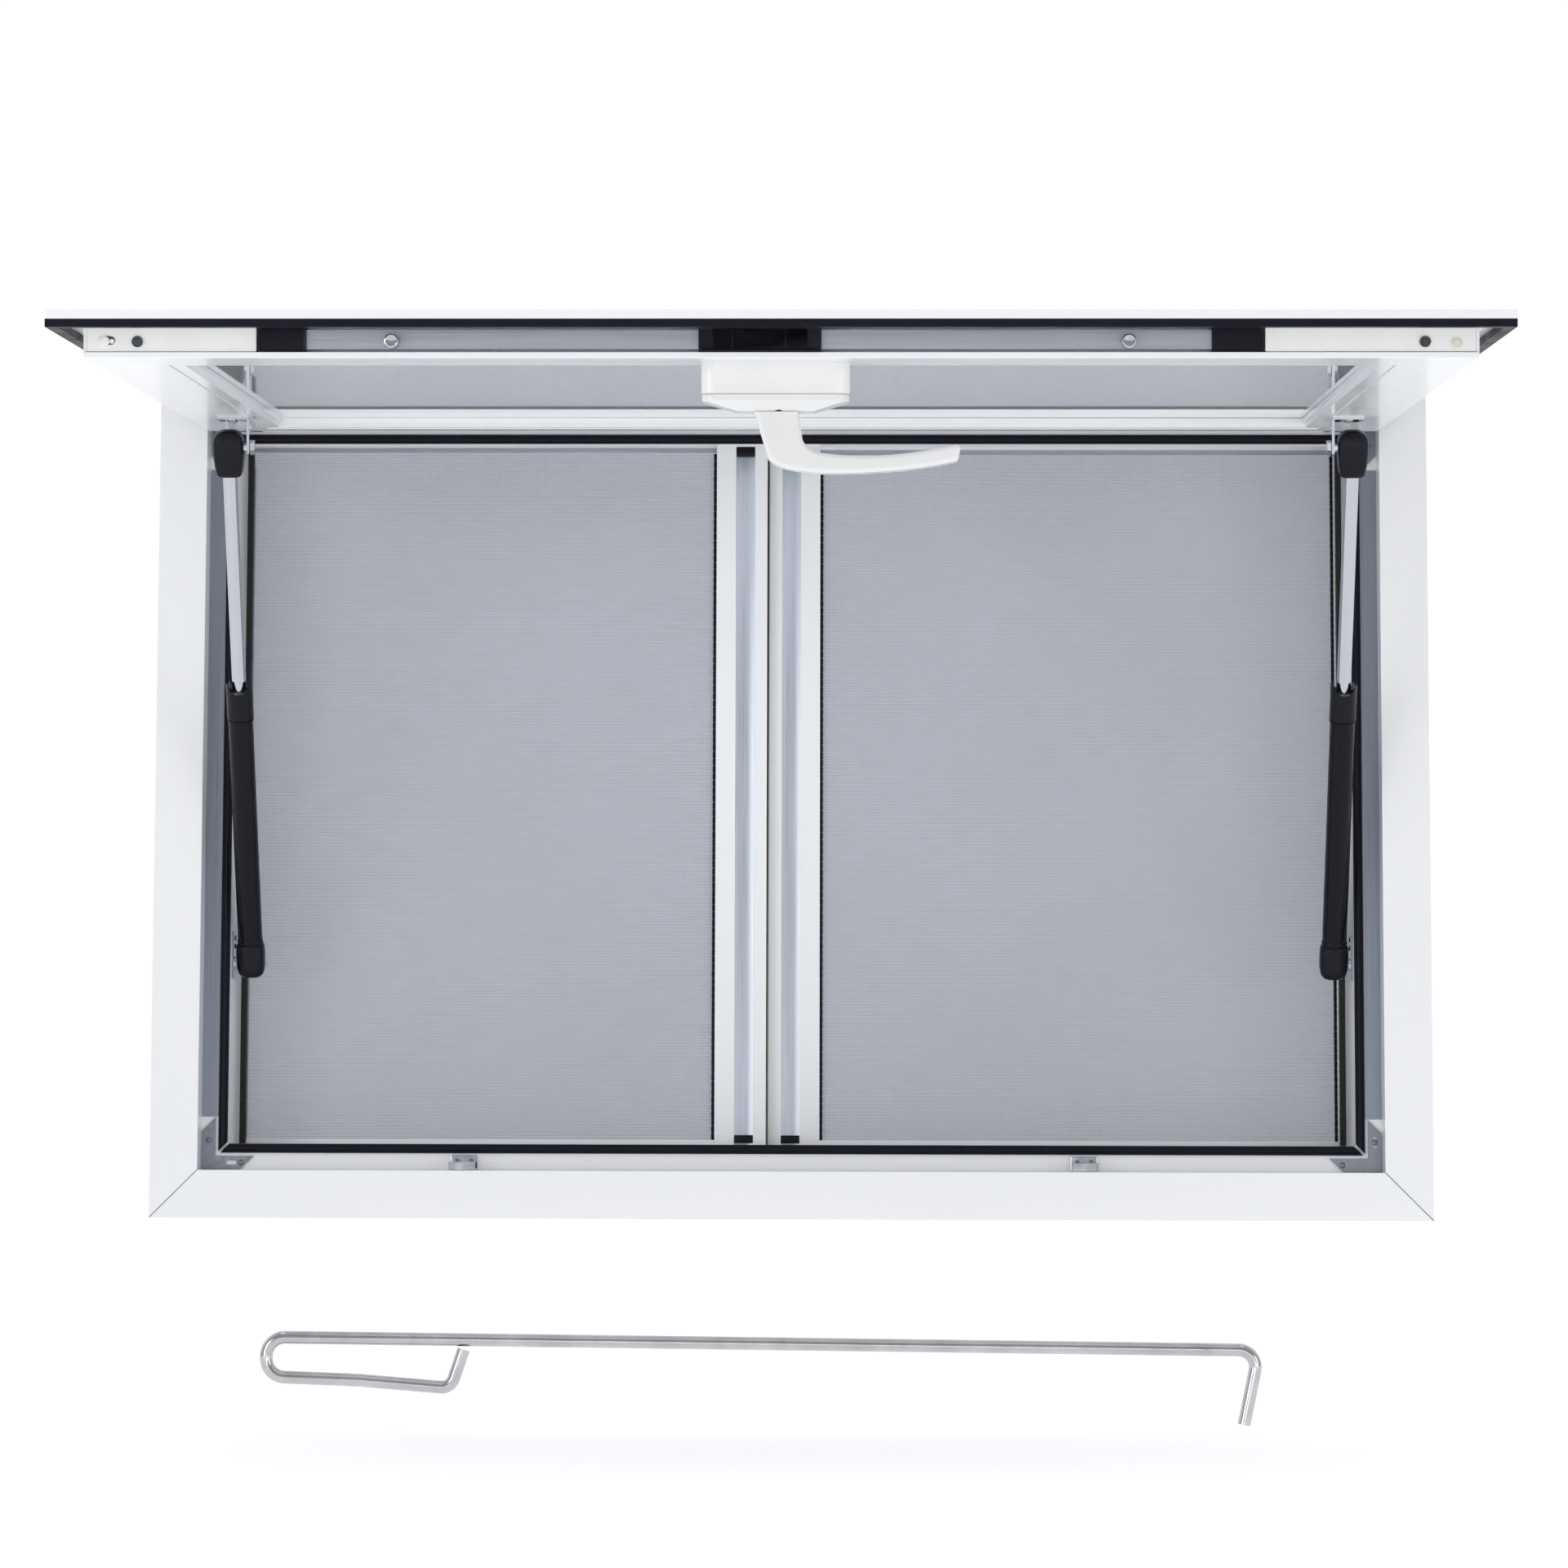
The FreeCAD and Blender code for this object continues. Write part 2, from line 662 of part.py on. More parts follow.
def pinion_shape():
    """A 23-tooth pinion whose tooth gap points at the rack when the lever is at rest."""
    module = size("gear_module")
    pitch = size("pinion_pitch")
    teeth = round(2 * pitch / module)
    radii = (pitch - 1.25 * module, pitch - 0.6 * module, pitch, pitch + 0.5 * module, pitch + 0.9 * module)
    points = []
    for tooth in range(teeth):
        centre = -math.pi / 2 + (tooth + 0.5) * 2 * math.pi / teeth
        flank = [(r, tooth_half_angle(r)) for r in radii]
        outline = [(r, centre - a) for r, a in flank] + [(r, centre + a) for r, a in reversed(flank)]
        points += [Vector(r * math.cos(a), 0, r * math.sin(a)) for r, a in outline]
    face = Part.Face(Part.makePolygon(points + points[:1]))
    gear = face.extrude(Vector(0, size("gear_high") - size("gear_low"), 0))
    hole = Part.makeCylinder(size("spindle_radius"), 20, Vector(0, -5, 0), Y_AXIS)
    gear = gear.cut(hole)
    gear.translate(Vector(size("pinion_x"), size("gear_low"), -size("pinion_run")))
    return gear


def rack_shape():
    """Rack teeth that face the pinion, on a carriage behind the drive bars."""
    module = size("gear_module")
    pitch_line = -size("pinion_run") - size("pinion_pitch")
    step = math.pi * module
    tip, root = pitch_line + 0.9 * module, pitch_line - 1.25 * module
    thick = step / 2 - size("gear_slack")
    slope = math.tan(math.radians(20))
    points = []
    first, last = -9, 3
    for tooth in range(first, last + 1):
        centre = size("pinion_x") + tooth * step
        at_root = thick / 2 + 1.25 * module * slope
        at_tip = thick / 2 - 0.9 * module * slope
        points += [(centre - at_root, root), (centre - at_tip, tip), (centre + at_tip, tip), (centre + at_root, root)]
    left, right = points[0][0] - 2, points[-1][0] + 2
    back = -size("awning_run") + 6.2
    points = [(left, back), (left, root)] + points + [(right, root), (right, back)]
    outline = [Vector(x, size("gear_low"), z) for x, z in points]
    face = Part.Face(Part.makePolygon(outline + outline[:1]))
    return face.extrude(Vector(0, size("gear_high") - size("gear_low"), 0))


# ---------------------------------------------------------------- handle

def handle():
    """Base, tapered cover and bush on the rail; lever, spindle and pinion that turn in them."""
    middle = "(base_half - base_left)"
    across = (f"{middle} - base_half", f"{middle} + base_half")
    up = ("-base_run - base_deep / 2", "-base_run + base_deep / 2")
    base = block(across, ("awning_back", "awning_back + base_high"), up)
    base = rounded(base, size("base_corner"), runs_deep)
    hole = cylinder("bush_radius", ("pinion_x", "awning_back - 1", "-pinion_run"), "base_high + 2", "y")
    keep("handle_base", cut(base, hole), AWNING)
    keep("handle_cover", handle_cover(middle), AWNING)
    bush = cylinder("bush_radius", ("pinion_x", "awning_back", "-pinion_run"), "base_high + cover_high", "y")
    bore = cylinder("spindle_radius + shaft_clearance", ("pinion_x", "0", "-pinion_run"), "80", "y")
    keep("spindle_bush", cut(bush, bore), AWNING)
    reach = "awning_back + base_high + cover_high + 4 - 1.4"
    keep("spindle", cylinder("spindle_radius", ("pinion_x", "1.4", "-pinion_run"), reach, "y"), AWNING)
    keep("pinion", feature(pinion_shape(), "Pinion"), AWNING)
    keep("handle_lever", feature(lever_shape(), "Lever"), AWNING)


def runs_deep(edge):
    """True for the long edges that stand square to the awning."""
    return edge.BoundBox.YLength > 3 and edge.BoundBox.XLength < 0.1 and edge.BoundBox.ZLength < 0.1


def handle_cover(middle):
    """A straight band over the base, then a shallow taper towards the lever."""
    inset = "cover_inset"
    across = (f"{middle} - base_half + {inset}", f"{middle} + base_half - {inset}")
    up = (f"-base_run - base_deep / 2 + {inset}", f"-base_run + base_deep / 2 - {inset}")
    start = "awning_back + base_high"
    band = rounded(block(across, (start, f"{start} + cover_straight"), up), size("base_corner"), runs_deep)
    slope = doc.addObject("Part::Wedge", "CoverTaper")
    half, deep = "base_half - cover_inset", "base_deep / 2 - cover_inset"
    bind(slope, Xmin=f"-({half})", Xmax=half, Zmin=f"-({deep})", Zmax=deep)
    bind(slope, X2min="-base_half + cover_taper", X2max="base_half - cover_taper")
    bind(slope, Z2min=f"-({deep}) + 3", Z2max=f"{deep} - 3", Ymin="0", Ymax="cover_high - cover_straight")
    bind(slope, Placement__Base__x=middle, Placement__Base__y=f"{start} + cover_straight")
    bind(slope, Placement__Base__z="-base_run")
    trim = rounded(block(across, (f"{start} - 1", "80"), up), size("base_corner"), runs_deep)
    hole = cylinder("bush_radius", ("pinion_x", f"{start} - 1", "-pinion_run"), "cover_high + 2", "y")
    return cut(fuse(band, common(slope, trim)), hole)


def lever_shape():
    """A flat-sided lever: a slanting neck, a blunt heel and a slightly bowed grip."""
    foot = size("awning_back") + size("base_high") + size("cover_high") + size("lever_gap")
    near = -size("pinion_run") - size("lever_half")

    def at(across, lift):
        return Vector(size("pinion_x") + across, foot + lift, near)

    def curve(*points):
        line = Part.BSplineCurve()
        line.interpolate([at(*point) for point in points])
        return line.toShape()

    heel = (-6.5, 28.5)
    tip = (109.0, 29.7), (111.0, 19.0)
    throat = (14.5, 17.0)
    edges = [
        Part.makeLine(at(12.0, 0), at(-15.0, 0)),
        Part.makeLine(at(-15.0, 0), at(*heel)),
        curve(heel, (-1.0, 32.6), (8.0, 35.2), (28.0, 37.4), (53.0, 37.0), (80.0, 34.8), tip[0]),
        Part.makeLine(at(*tip[0]), at(*tip[1])),
        curve(tip[1], (97.0, 22.0), (78.0, 25.0), (53.0, 26.6), (30.0, 25.4), (19.0, 22.4), throat),
        Part.makeLine(at(*throat), at(12.0, 0)),
    ]
    lever = Part.Face(Part.Wire(edges)).extrude(Vector(0, 0, 2 * size("lever_half")))
    soft = [edge for edge in lever.Edges if edge.BoundBox.YMin > foot + 0.1 or edge.BoundBox.YLength > 5]
    lever = lever.makeFillet(size("lever_edge"), soft)
    socket = Part.makeCylinder(size("spindle_radius"), 8, at(0, -4) + Vector(0, 0, size("lever_half")), Y_AXIS)
    return lever.cut(socket)


# ---------------------------------------------------------------- struts

def strut_frame():
    """Length at rest, and the placement that lays local Z along the left strut at rest."""
    angle = math.radians(size("open_angle"))
    run, back = size("upper_pivot_run"), size("upper_pivot_back")
    deep = -size("hinge_front") - run * math.sin(angle) + back * math.cos(angle)
    high = size("hinge_height") - run * math.cos(angle) - back * math.sin(angle)
    dy, dz = deep - size("lower_pivot_deep"), high - size("lower_pivot_high")
    lean = math.degrees(math.atan2(-dy, dz))
    base = Vector(-size("strut_x"), size("lower_pivot_deep"), size("lower_pivot_high"))
    return math.hypot(dy, dz), Placement(base, Rotation(X_AXIS, lean))


def socket_piece(neck_end, inboard_hole):
    """End fitting: a rounded barrel across the strut, a neck, and a round seat for a ball."""
    barrel = cylinder("socket_radius", ("-socket_half", "0", "0"), "2 * socket_half", "x")
    low, high = sorted((0, neck_end))
    neck = cylinder("tube_radius", ("0", "0", str(low)), str(high - low))
    body = fuse(barrel, neck)
    if not inboard_hole:
        return body
    seat = ball("ball_radius + shaft_clearance", ("0", "0", "0"))
    mouth = cylinder("ball_radius - 1.2", ("0", "0", "0"), "socket_half + 1", "x")
    return cut(body, seat, mouth)


def struts():
    length, left = strut_frame()
    right_shift = Placement(Vector(2 * size("strut_x"), 0, 0), Rotation())
    for side in ("left", "right"):
        place = DATUM * (left if side == "left" else right_shift * left)
        name = "strut_" + side + "_"
        bore = cylinder("tube_bore", ("0", "0", "tube_start + 4"), "tube_end")
        outside = cylinder("tube_radius", ("0", "0", "tube_start"), "tube_end - tube_start")
        keep(name + "tube", cut(outside, bore), place)
        ring = cylinder("collar_radius", ("0", "0", "tube_end"), "collar_end - tube_end")
        passage = cylinder("rod_radius + shaft_clearance", ("0", "0", "0"), "300")
        saddle = cylinder("7.5", ("0", "-20", "collar_end + 1"), "40", "y")
        keep(name + "collar", cut(ring, passage, saddle), place)
        keep(name + "lower_socket", socket_piece(size("tube_start"), False), place)
        upper = socket_piece(-19, True)
        if side == "right":
            upper = mirrored(upper)
        upper.Placement = Placement(Vector(0, 0, length), Rotation())
        keep(name + "upper_socket", upper, place)
        start = size("collar_end") - size("rod_inside")
        rod = cylinder("rod_radius", ("0", "0", str(start)), str(length - 19 - start))
        keep(name + "rod", rod, place)
        head = cylinder("tube_bore - shaft_clearance", ("0", "0", str(start - size("piston_length"))), "piston_length")
        keep(name + "piston", head, place)


def strut_brackets():
    wall = "frame_width / 2 - reveal"
    plate = block((f"{wall} - 1.6", wall), ("lower_pivot_deep - 9", "lower_pivot_deep + 9"),
                  ("lower_pivot_high - 12", "lower_pivot_high + 22"))
    stud = cylinder("4.6", ("strut_x + socket_half + 0.7", "lower_pivot_deep", "lower_pivot_high"),
                    f"{wall} - 1.6 - (strut_x + socket_half + 0.7)", "x")
    lower = fuse(plate, stud)
    keep("strut_lower_brackets", group(lower, mirrored(lower)))
    spot = ("awning_back", "-upper_pivot_run")
    foot = block(("strut_x - 15", "strut_x + 7"), (spot[0], f"{spot[0]} + 1.6"), (f"{spot[1]} - 10", f"{spot[1]} + 10"))
    web = block(("strut_x - 15", "strut_x - 13.2"), (spot[0], "upper_pivot_back + 5"), (f"{spot[1]} - 7", f"{spot[1]} + 7"))
    pin = cylinder("3", ("strut_x - 14", "upper_pivot_back", spot[1]), "14", "x")
    upper = fuse(foot, web, pin, ball("ball_radius", ("strut_x", "upper_pivot_back", spot[1])))
    keep("strut_upper_brackets", group(upper, mirrored(upper)), AWNING)


# ---------------------------------------------------------------- sliding sashes

def sash_frame(x, track, low_stile, high_stile):
    """Four members of a sash; a stile is 'plain' or 'meeting' (with a groove in its face)."""
    middle = f"(track_first + track_pitch * {track})"
    deep = (f"{middle} - sash_thick / 2", f"{middle} + sash_thick / 2")
    tall = ("sash_bottom", "sash_top")
    meeting = "(meeting_band + meeting_groove + meeting_edge)"
    width = {"plain": "sash_stile", "meeting": meeting}
    inner = (f"{x[0]} + {width[low_stile]}", f"{x[1]} - {width[high_stile]}")
    pieces = []
    for kind, span in ((low_stile, (x[0], inner[0])), (high_stile, (inner[1], x[1]))):
        stile = block(span, deep, tall)
        if kind == "meeting":
            edge = f"{span[0]} + meeting_edge" if kind is low_stile else f"{span[0]} + meeting_band"
            groove = (edge, f"{edge} + meeting_groove")
            stile = cut(stile, block(groove, (f"{deep[0]} - 1", f"{deep[0]} + groove_deep"), ("0", "frame_height")))
        pieces.append(stile)
    pieces.append(block(inner, deep, ("sash_bottom", "sash_bottom + sash_rail_low")))
    pieces.append(block(inner, deep, ("sash_top - sash_rail_high", "sash_top")))
    window = ("sash_bottom + sash_rail_low", "sash_top - sash_rail_high")
    return group(*pieces), inner, middle, window


def sashes():
    gap = "meeting_gap / 2"
    spans = {
        "screen_left": (("-sash_outer", f"-meeting_x - {gap}"), 0, "plain", "meeting"),
        "screen_right": ((f"-meeting_x + {gap}", "sash_outer - 2 * meeting_x"), 1, "meeting", "plain"),
        "glass_left": (("-sash_outer", "-meeting_x + glass_overlap"), 2, "plain", "meeting"),
        "glass_right": (("-meeting_x - glass_overlap", "sash_outer - 2 * meeting_x"), 3, "meeting", "plain"),
    }
    for name, (x, track, low, high) in spans.items():
        frame, inner, middle, window = sash_frame(x, track, low, high)
        keep(name + "_frame", frame)
        thick, node = ("mesh_thick", "_mesh") if "screen" in name else ("glass_thick", "_pane")
        keep(name + node, block(inner, (f"{middle} - {thick} / 2", f"{middle} + {thick} / 2"), window))


# ---------------------------------------------------------------- drag hook

def hook_path():
    """Corner points of the bent wire in its own plane, with the bend radius at each."""
    drop = -size("hook_drop")
    return [
        # x, z, bend radius
        (-231.0, drop - 5.9, 0),
        (-240.0, drop - 33.0, 9),
        (-305.0, drop - 27.7, 60),
        (-371.0, drop - 25.3, 13.2),
        (-371.0, drop + 2.4, 13.2),
        (332.0, drop - 4.6, 12),
        (321.0, drop - 57.0, 0),
    ]


def rounded_wire(route, deep):
    """Straight runs joined by tangent arcs through (x, z, radius) corners."""
    edges = []
    here = Vector(route[0][0], deep, route[0][1])
    for before, corner, after in zip(route, route[1:], route[2:]):
        point = Vector(corner[0], deep, corner[1])
        back = (Vector(before[0], deep, before[1]) - point).normalize()
        ahead = (Vector(after[0], deep, after[1]) - point).normalize()
        half = back.getAngle(ahead) / 2
        reach = corner[2] / math.tan(half)
        start, end = point + back * reach, point + ahead * reach
        inward = (back + ahead).normalize()
        middle = point + inward * (corner[2] / math.sin(half) - corner[2])
        edges += [Part.LineSegment(here, start).toShape(), Part.Arc(start, middle, end).toShape()]
        here = end
    last = route[-1]
    edges.append(Part.LineSegment(here, Vector(last[0], deep, last[1])).toShape())
    return Part.Wire(edges)


def drag_hook():
    deep = -size("hook_wire") - 0.5
    wire = rounded_wire(hook_path(), deep)
    start = wire.Edges[0].Vertexes[0].Point
    tangent = wire.Edges[0].tangentAt(wire.Edges[0].FirstParameter)
    ring = Part.Wire([Part.Circle(start, tangent, size("hook_wire")).toShape()])
    solid = wire.makePipeShell([ring], True, False)
    print("hook wire", round(wire.Length, 1), "volume ratio",
          round(solid.Volume / (wire.Length * math.pi * size("hook_wire") ** 2), 3))
    keep("drag_hook", feature(solid, "DragHook"))


# ---------------------------------------------------------------- build and write

def main():
    front_frame()
    rear_frame()
    seals()
    corner_plates()
    keepers()
    hinge_rail()
    awning_frame()
    awning_panels()
    edge_seals()
    lock_fixed()
    lock_moving()
    handle()
    struts()
    strut_brackets()
    sashes()
    drag_hook()
    doc.recompute()
    failed = [o.Name for o in doc.Objects if {"Invalid", "Error"} & set(o.State)]
    broken = [label for label, o in finished.items() if o.Shape.isNull() or not o.Shape.isValid()]
    if failed or broken:
        raise RuntimeError(f"failed objects {failed}, broken pieces {broken}")
    os.makedirs("parts", exist_ok=True)
    for label, piece in finished.items():
        piece.Shape.exportStep(os.path.join("parts", label + ".step"))
    print(len(finished), "pieces written")


main()
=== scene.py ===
"""Looks of the serving window: finishes for the machined pieces, and the woven screens, cords,
fasteners, moulded fittings and brush strips that are made here round the frame."""
import json
import math

import bmesh
import bpy
from mathutils import Matrix, Vector


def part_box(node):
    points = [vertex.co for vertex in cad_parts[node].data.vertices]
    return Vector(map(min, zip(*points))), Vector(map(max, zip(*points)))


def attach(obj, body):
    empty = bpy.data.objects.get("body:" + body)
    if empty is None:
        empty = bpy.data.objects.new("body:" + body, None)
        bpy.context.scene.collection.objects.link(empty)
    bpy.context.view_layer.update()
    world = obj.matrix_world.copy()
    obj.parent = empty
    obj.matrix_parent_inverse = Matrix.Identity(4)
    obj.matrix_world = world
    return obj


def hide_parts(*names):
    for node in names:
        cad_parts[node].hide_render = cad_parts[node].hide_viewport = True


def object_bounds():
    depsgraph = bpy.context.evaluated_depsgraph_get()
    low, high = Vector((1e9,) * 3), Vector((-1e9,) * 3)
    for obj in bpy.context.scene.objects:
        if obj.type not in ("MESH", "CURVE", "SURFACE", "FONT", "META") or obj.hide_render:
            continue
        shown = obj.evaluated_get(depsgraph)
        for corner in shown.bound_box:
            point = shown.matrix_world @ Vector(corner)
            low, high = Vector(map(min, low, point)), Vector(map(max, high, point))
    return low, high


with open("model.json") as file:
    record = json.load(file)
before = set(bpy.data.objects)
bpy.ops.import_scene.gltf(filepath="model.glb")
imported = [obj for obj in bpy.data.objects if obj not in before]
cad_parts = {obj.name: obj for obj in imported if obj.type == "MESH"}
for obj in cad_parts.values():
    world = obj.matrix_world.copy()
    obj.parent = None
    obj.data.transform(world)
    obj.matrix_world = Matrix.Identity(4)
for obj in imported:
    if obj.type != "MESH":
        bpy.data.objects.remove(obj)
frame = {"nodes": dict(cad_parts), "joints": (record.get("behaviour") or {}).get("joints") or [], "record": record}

cad_low, cad_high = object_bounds()

MM = 0.001
JOINTS = {joint["name"]: joint for joint in frame["joints"]}
HINGE = Vector(JOINTS["awning_hinge"]["pos_m"])
OPEN_ANGLE = math.radians(85)
DOWN_SASH = Vector((0, -math.sin(OPEN_ANGLE), -math.cos(OPEN_ANGLE)))
INTO_ROOM = Vector((0, math.cos(OPEN_ANGLE), -math.sin(OPEN_ANGLE)))
SASH_TURN = Matrix((Vector((1, 0, 0)), INTO_ROOM, -DOWN_SASH)).transposed().to_4x4()


def on_sash(x, deep, run):
    """A point of the open awning: across, depth behind the hinge axis, distance down the sash."""
    return HINGE + Vector((x, 0, 0)) + deep * INTO_ROOM + run * DOWN_SASH


def sash_place(x, deep, run):
    """Matrix that lays local X, Y (into the room) and Z (towards the hinge) on the awning."""
    return Matrix.Translation(on_sash(x, deep, run)) @ SASH_TURN


# ------------------------------------------------------------------ finishes

class Finish:
    """A node material with a Principled surface and patterns on Object coordinates."""

    def __init__(self, name, colour, rough, metal=0.0, coat=0.0, coat_rough=0.05, ior=1.5):
        self.material = bpy.data.materials.new(name)
        self.material.use_nodes = True
        self.nodes = self.material.node_tree.nodes
        self.links = self.material.node_tree.links
        self.surface = self.nodes["Principled BSDF"]
        self.colour = colour
        self.rough = rough
        self.set("Base Color", (*colour, 1))
        self.set("Roughness", rough)
        self.set("Metallic", metal)
        self.set("Coat Weight", coat)
        self.set("Coat Roughness", coat_rough)
        self.set("IOR", ior)
        self.place = self.nodes.new("ShaderNodeTexCoord").outputs["Object"]

    def set(self, socket, value):
        self.surface.inputs[socket].default_value = value

    def stretched(self, scale):
        """Object coordinates with a scale of their own along each axis."""
        mapping = self.nodes.new("ShaderNodeMapping")
        mapping.inputs["Scale"].default_value = scale
        self.links.new(self.place, mapping.inputs["Vector"])
        return mapping.outputs["Vector"]

    def noise(self, scale, detail=3.0, source=None, rough=0.5):
        node = self.nodes.new("ShaderNodeTexNoise")
        node.inputs["Scale"].default_value = scale
        node.inputs["Detail"].default_value = detail
        node.inputs["Roughness"].default_value = rough
        self.links.new(source or self.place, node.inputs["Vector"])
        return node.outputs["Fac"]

    def spread(self, value, low, high):
        """A 0 to 1 value spread over a range."""
        node = self.nodes.new("ShaderNodeMapRange")
        node.inputs["From Min"].default_value = 0.3
        node.inputs["From Max"].default_value = 0.7
        node.inputs["To Min"].default_value = low
        node.inputs["To Max"].default_value = high
        self.links.new(value, node.inputs["Value"])
        return node.outputs["Result"]

    def maths(self, operation, first, second=0.0):
        node = self.nodes.new("ShaderNodeMath")
        node.operation = operation
        for socket, value in zip(node.inputs, (first, second)):
            if isinstance(value, (int, float)):
                socket.default_value = value
            else:
                self.links.new(value, socket)
        return node.outputs[0]

    def tint(self, value, darker):
        """Base colour that drifts between the finish's colour and a darker one."""
        mix = self.nodes.new("ShaderNodeMix")
        mix.data_type = "RGBA"
        mix.inputs["A"].default_value = (*[c * darker for c in self.colour], 1)
        mix.inputs["B"].default_value = (*self.colour, 1)
        self.links.new(self.spread(value, 0, 1), mix.inputs["Factor"])
        self.links.new(mix.outputs["Result"], self.surface.inputs["Base Color"])

    def vary_rough(self, value, amount):
        self.links.new(self.spread(value, self.rough - amount, self.rough + amount),
                       self.surface.inputs["Roughness"])

    def bump(self, height, strength, distance, below=None):
        node = self.nodes.new("ShaderNodeBump")
        node.inputs["Strength"].default_value = strength
        node.inputs["Distance"].default_value = distance
        self.links.new(height, node.inputs["Height"])
        if below is not None:
            self.links.new(below, node.inputs["Normal"])
        self.links.new(node.outputs["Normal"], self.surface.inputs["Normal"])
        return node.outputs["Normal"]


def powder_coat():
    """Gloss white powder coat: faint orange peel and slight drift in gloss."""
    finish = Finish("powder_coat_white", (0.86, 0.868, 0.885), 0.24, coat=0.35, coat_rough=0.08)
    peel = finish.noise(900, 2)
    drift = finish.noise(3, 1)
    finish.tint(drift, 0.985)
    finish.vary_rough(finish.noise(14, 2), 0.03)
    finish.bump(peel, 0.05, 0.0002)
    return finish.material


def coated_sheet():
    """Smooth gloss sheet with the long slow waves of thin flat metal."""
    finish = Finish("coated_sheet_white", (0.88, 0.888, 0.905), 0.07, coat=1.0, coat_rough=0.03)
    waves = finish.noise(5, 2, finish.stretched((1.0, 2.2, 1.0)))
    peel = finish.noise(700, 2)
    finish.tint(finish.noise(4, 3), 0.975)
    below = finish.bump(waves, 0.12, 0.003)
    finish.bump(peel, 0.03, 0.0001, below)
    return finish.material


def cast_white():
    """Satin white paint over a casting."""
    finish = Finish("cast_handle_white", (0.78, 0.78, 0.78), 0.27, coat=0.3, coat_rough=0.12)
    finish.tint(finish.noise(30, 3), 0.97)
    finish.bump(finish.noise(1300, 3), 0.05, 0.0001)
    return finish.material


def white_nylon():
    finish = Finish("moulded_white_nylon", (0.82, 0.82, 0.81), 0.38)
    finish.tint(finish.noise(60, 3), 0.95)
    finish.bump(finish.noise(1800, 2), 0.12, 0.0001)
    return finish.material


def beige_nylon():
    finish = Finish("moulded_beige_nylon", (0.72, 0.69, 0.57), 0.35)
    finish.tint(finish.noise(90, 3), 0.93)
    finish.bump(finish.noise(1800, 2), 0.1, 0.0001)
    return finish.material


def joint_filler():
    finish = Finish("joint_filler_grey", (0.24, 0.25, 0.27), 0.6)
    finish.tint(finish.noise(150, 3), 0.7)
    return finish.material


def rubber():
    """Black seal: matt, with fine pulling lines and a little dust."""
    finish = Finish("seal_rubber_black", (0.005, 0.006, 0.013), 0.48)
    finish.set("Specular IOR Level", 0.16)
    dust = finish.noise(45, 5)
    finish.tint(dust, 0.55)
    finish.vary_rough(dust, 0.1)
    finish.bump(finish.noise(1500, 3), 0.25, 0.0002)
    return finish.material


def black_nylon():
    finish = Finish("moulded_black_nylon", (0.004, 0.0045, 0.009), 0.34)
    finish.set("Specular IOR Level", 0.2)
    finish.vary_rough(finish.noise(120, 3), 0.07)
    finish.bump(finish.noise(2400, 3), 0.2, 0.0001)
    return finish.material


def painted_tube():
    """Semi-gloss black paint on a drawn tube, with lines along it."""
    finish = Finish("painted_tube_black", (0.003, 0.0035, 0.007), 0.24, coat=0.04, coat_rough=0.1)
    finish.set("Specular IOR Level", 0.16)
    finish.vary_rough(finish.noise(35, 4), 0.06)
    finish.bump(finish.noise(1, 4, finish.stretched((1500, 400, 60))), 0.1, 0.0001)
    return finish.material


def brush_pile():
    finish = Finish("brush_pile_black", (0.012, 0.012, 0.014), 0.85)
    finish.set("Sheen Weight", 0.25)
    finish.tint(finish.noise(1, 3, finish.stretched((300, 300, 1800))), 0.3)
    finish.bump(finish.noise(1, 3, finish.stretched((600, 600, 2600))), 0.6, 0.0004)
    return finish.material


def chrome():
    """Bright plated steel with slight haze."""
    finish = Finish("chrome_plate", (0.52, 0.535, 0.58), 0.09, metal=1.0)
    haze = finish.noise(80, 4)
    finish.vary_rough(haze, 0.035)
    finish.bump(finish.noise(60, 2), 0.03, 0.0001)
    return finish.material


def drawn_wire():
    """Bright drawn wire of the drag hook, with fine lines and small dull patches."""
    finish = Finish("drawn_wire_bright", (0.60, 0.60, 0.615), 0.15, metal=1.0)
    patches = finish.noise(55, 5)
    finish.tint(patches, 0.82)
    finish.vary_rough(patches, 0.07)
    finish.bump(finish.noise(1, 3, finish.stretched((60, 2600, 2600))), 0.12, 0.0001)
    return finish.material


def zinc_steel(name, colour):
    """Grey zinc plate with a faint spangle."""
    finish = Finish(name, colour, 0.34, metal=0.85)
    spangle = finish.noise(220, 4)
    finish.tint(spangle, 0.75)
    finish.vary_rough(spangle, 0.09)
    finish.bump(finish.noise(900, 3), 0.1, 0.0001)
    return finish.material


def brushed_aluminium(name, colour, along):
    """Satin extrusion with drawing lines along one axis; along scales the pattern."""
    finish = Finish(name, colour, 0.34, metal=0.8)
    lines = finish.noise(1, 4, finish.stretched(along))
    finish.tint(lines, 0.85)
    finish.vary_rough(lines, 0.07)
    finish.bump(lines, 0.12, 0.0001)
    return finish.material


def clear_glass():
    finish = Finish("tempered_glass", (0.955, 0.975, 0.98), 0.0, ior=1.45)
    finish.set("Transmission Weight", 1.0)
    finish.bump(finish.noise(3, 2), 0.02, 0.001)
    return finish.material


WEFT_PITCH = 1.02 * MM
WARP_PITCH = 1.02 * MM


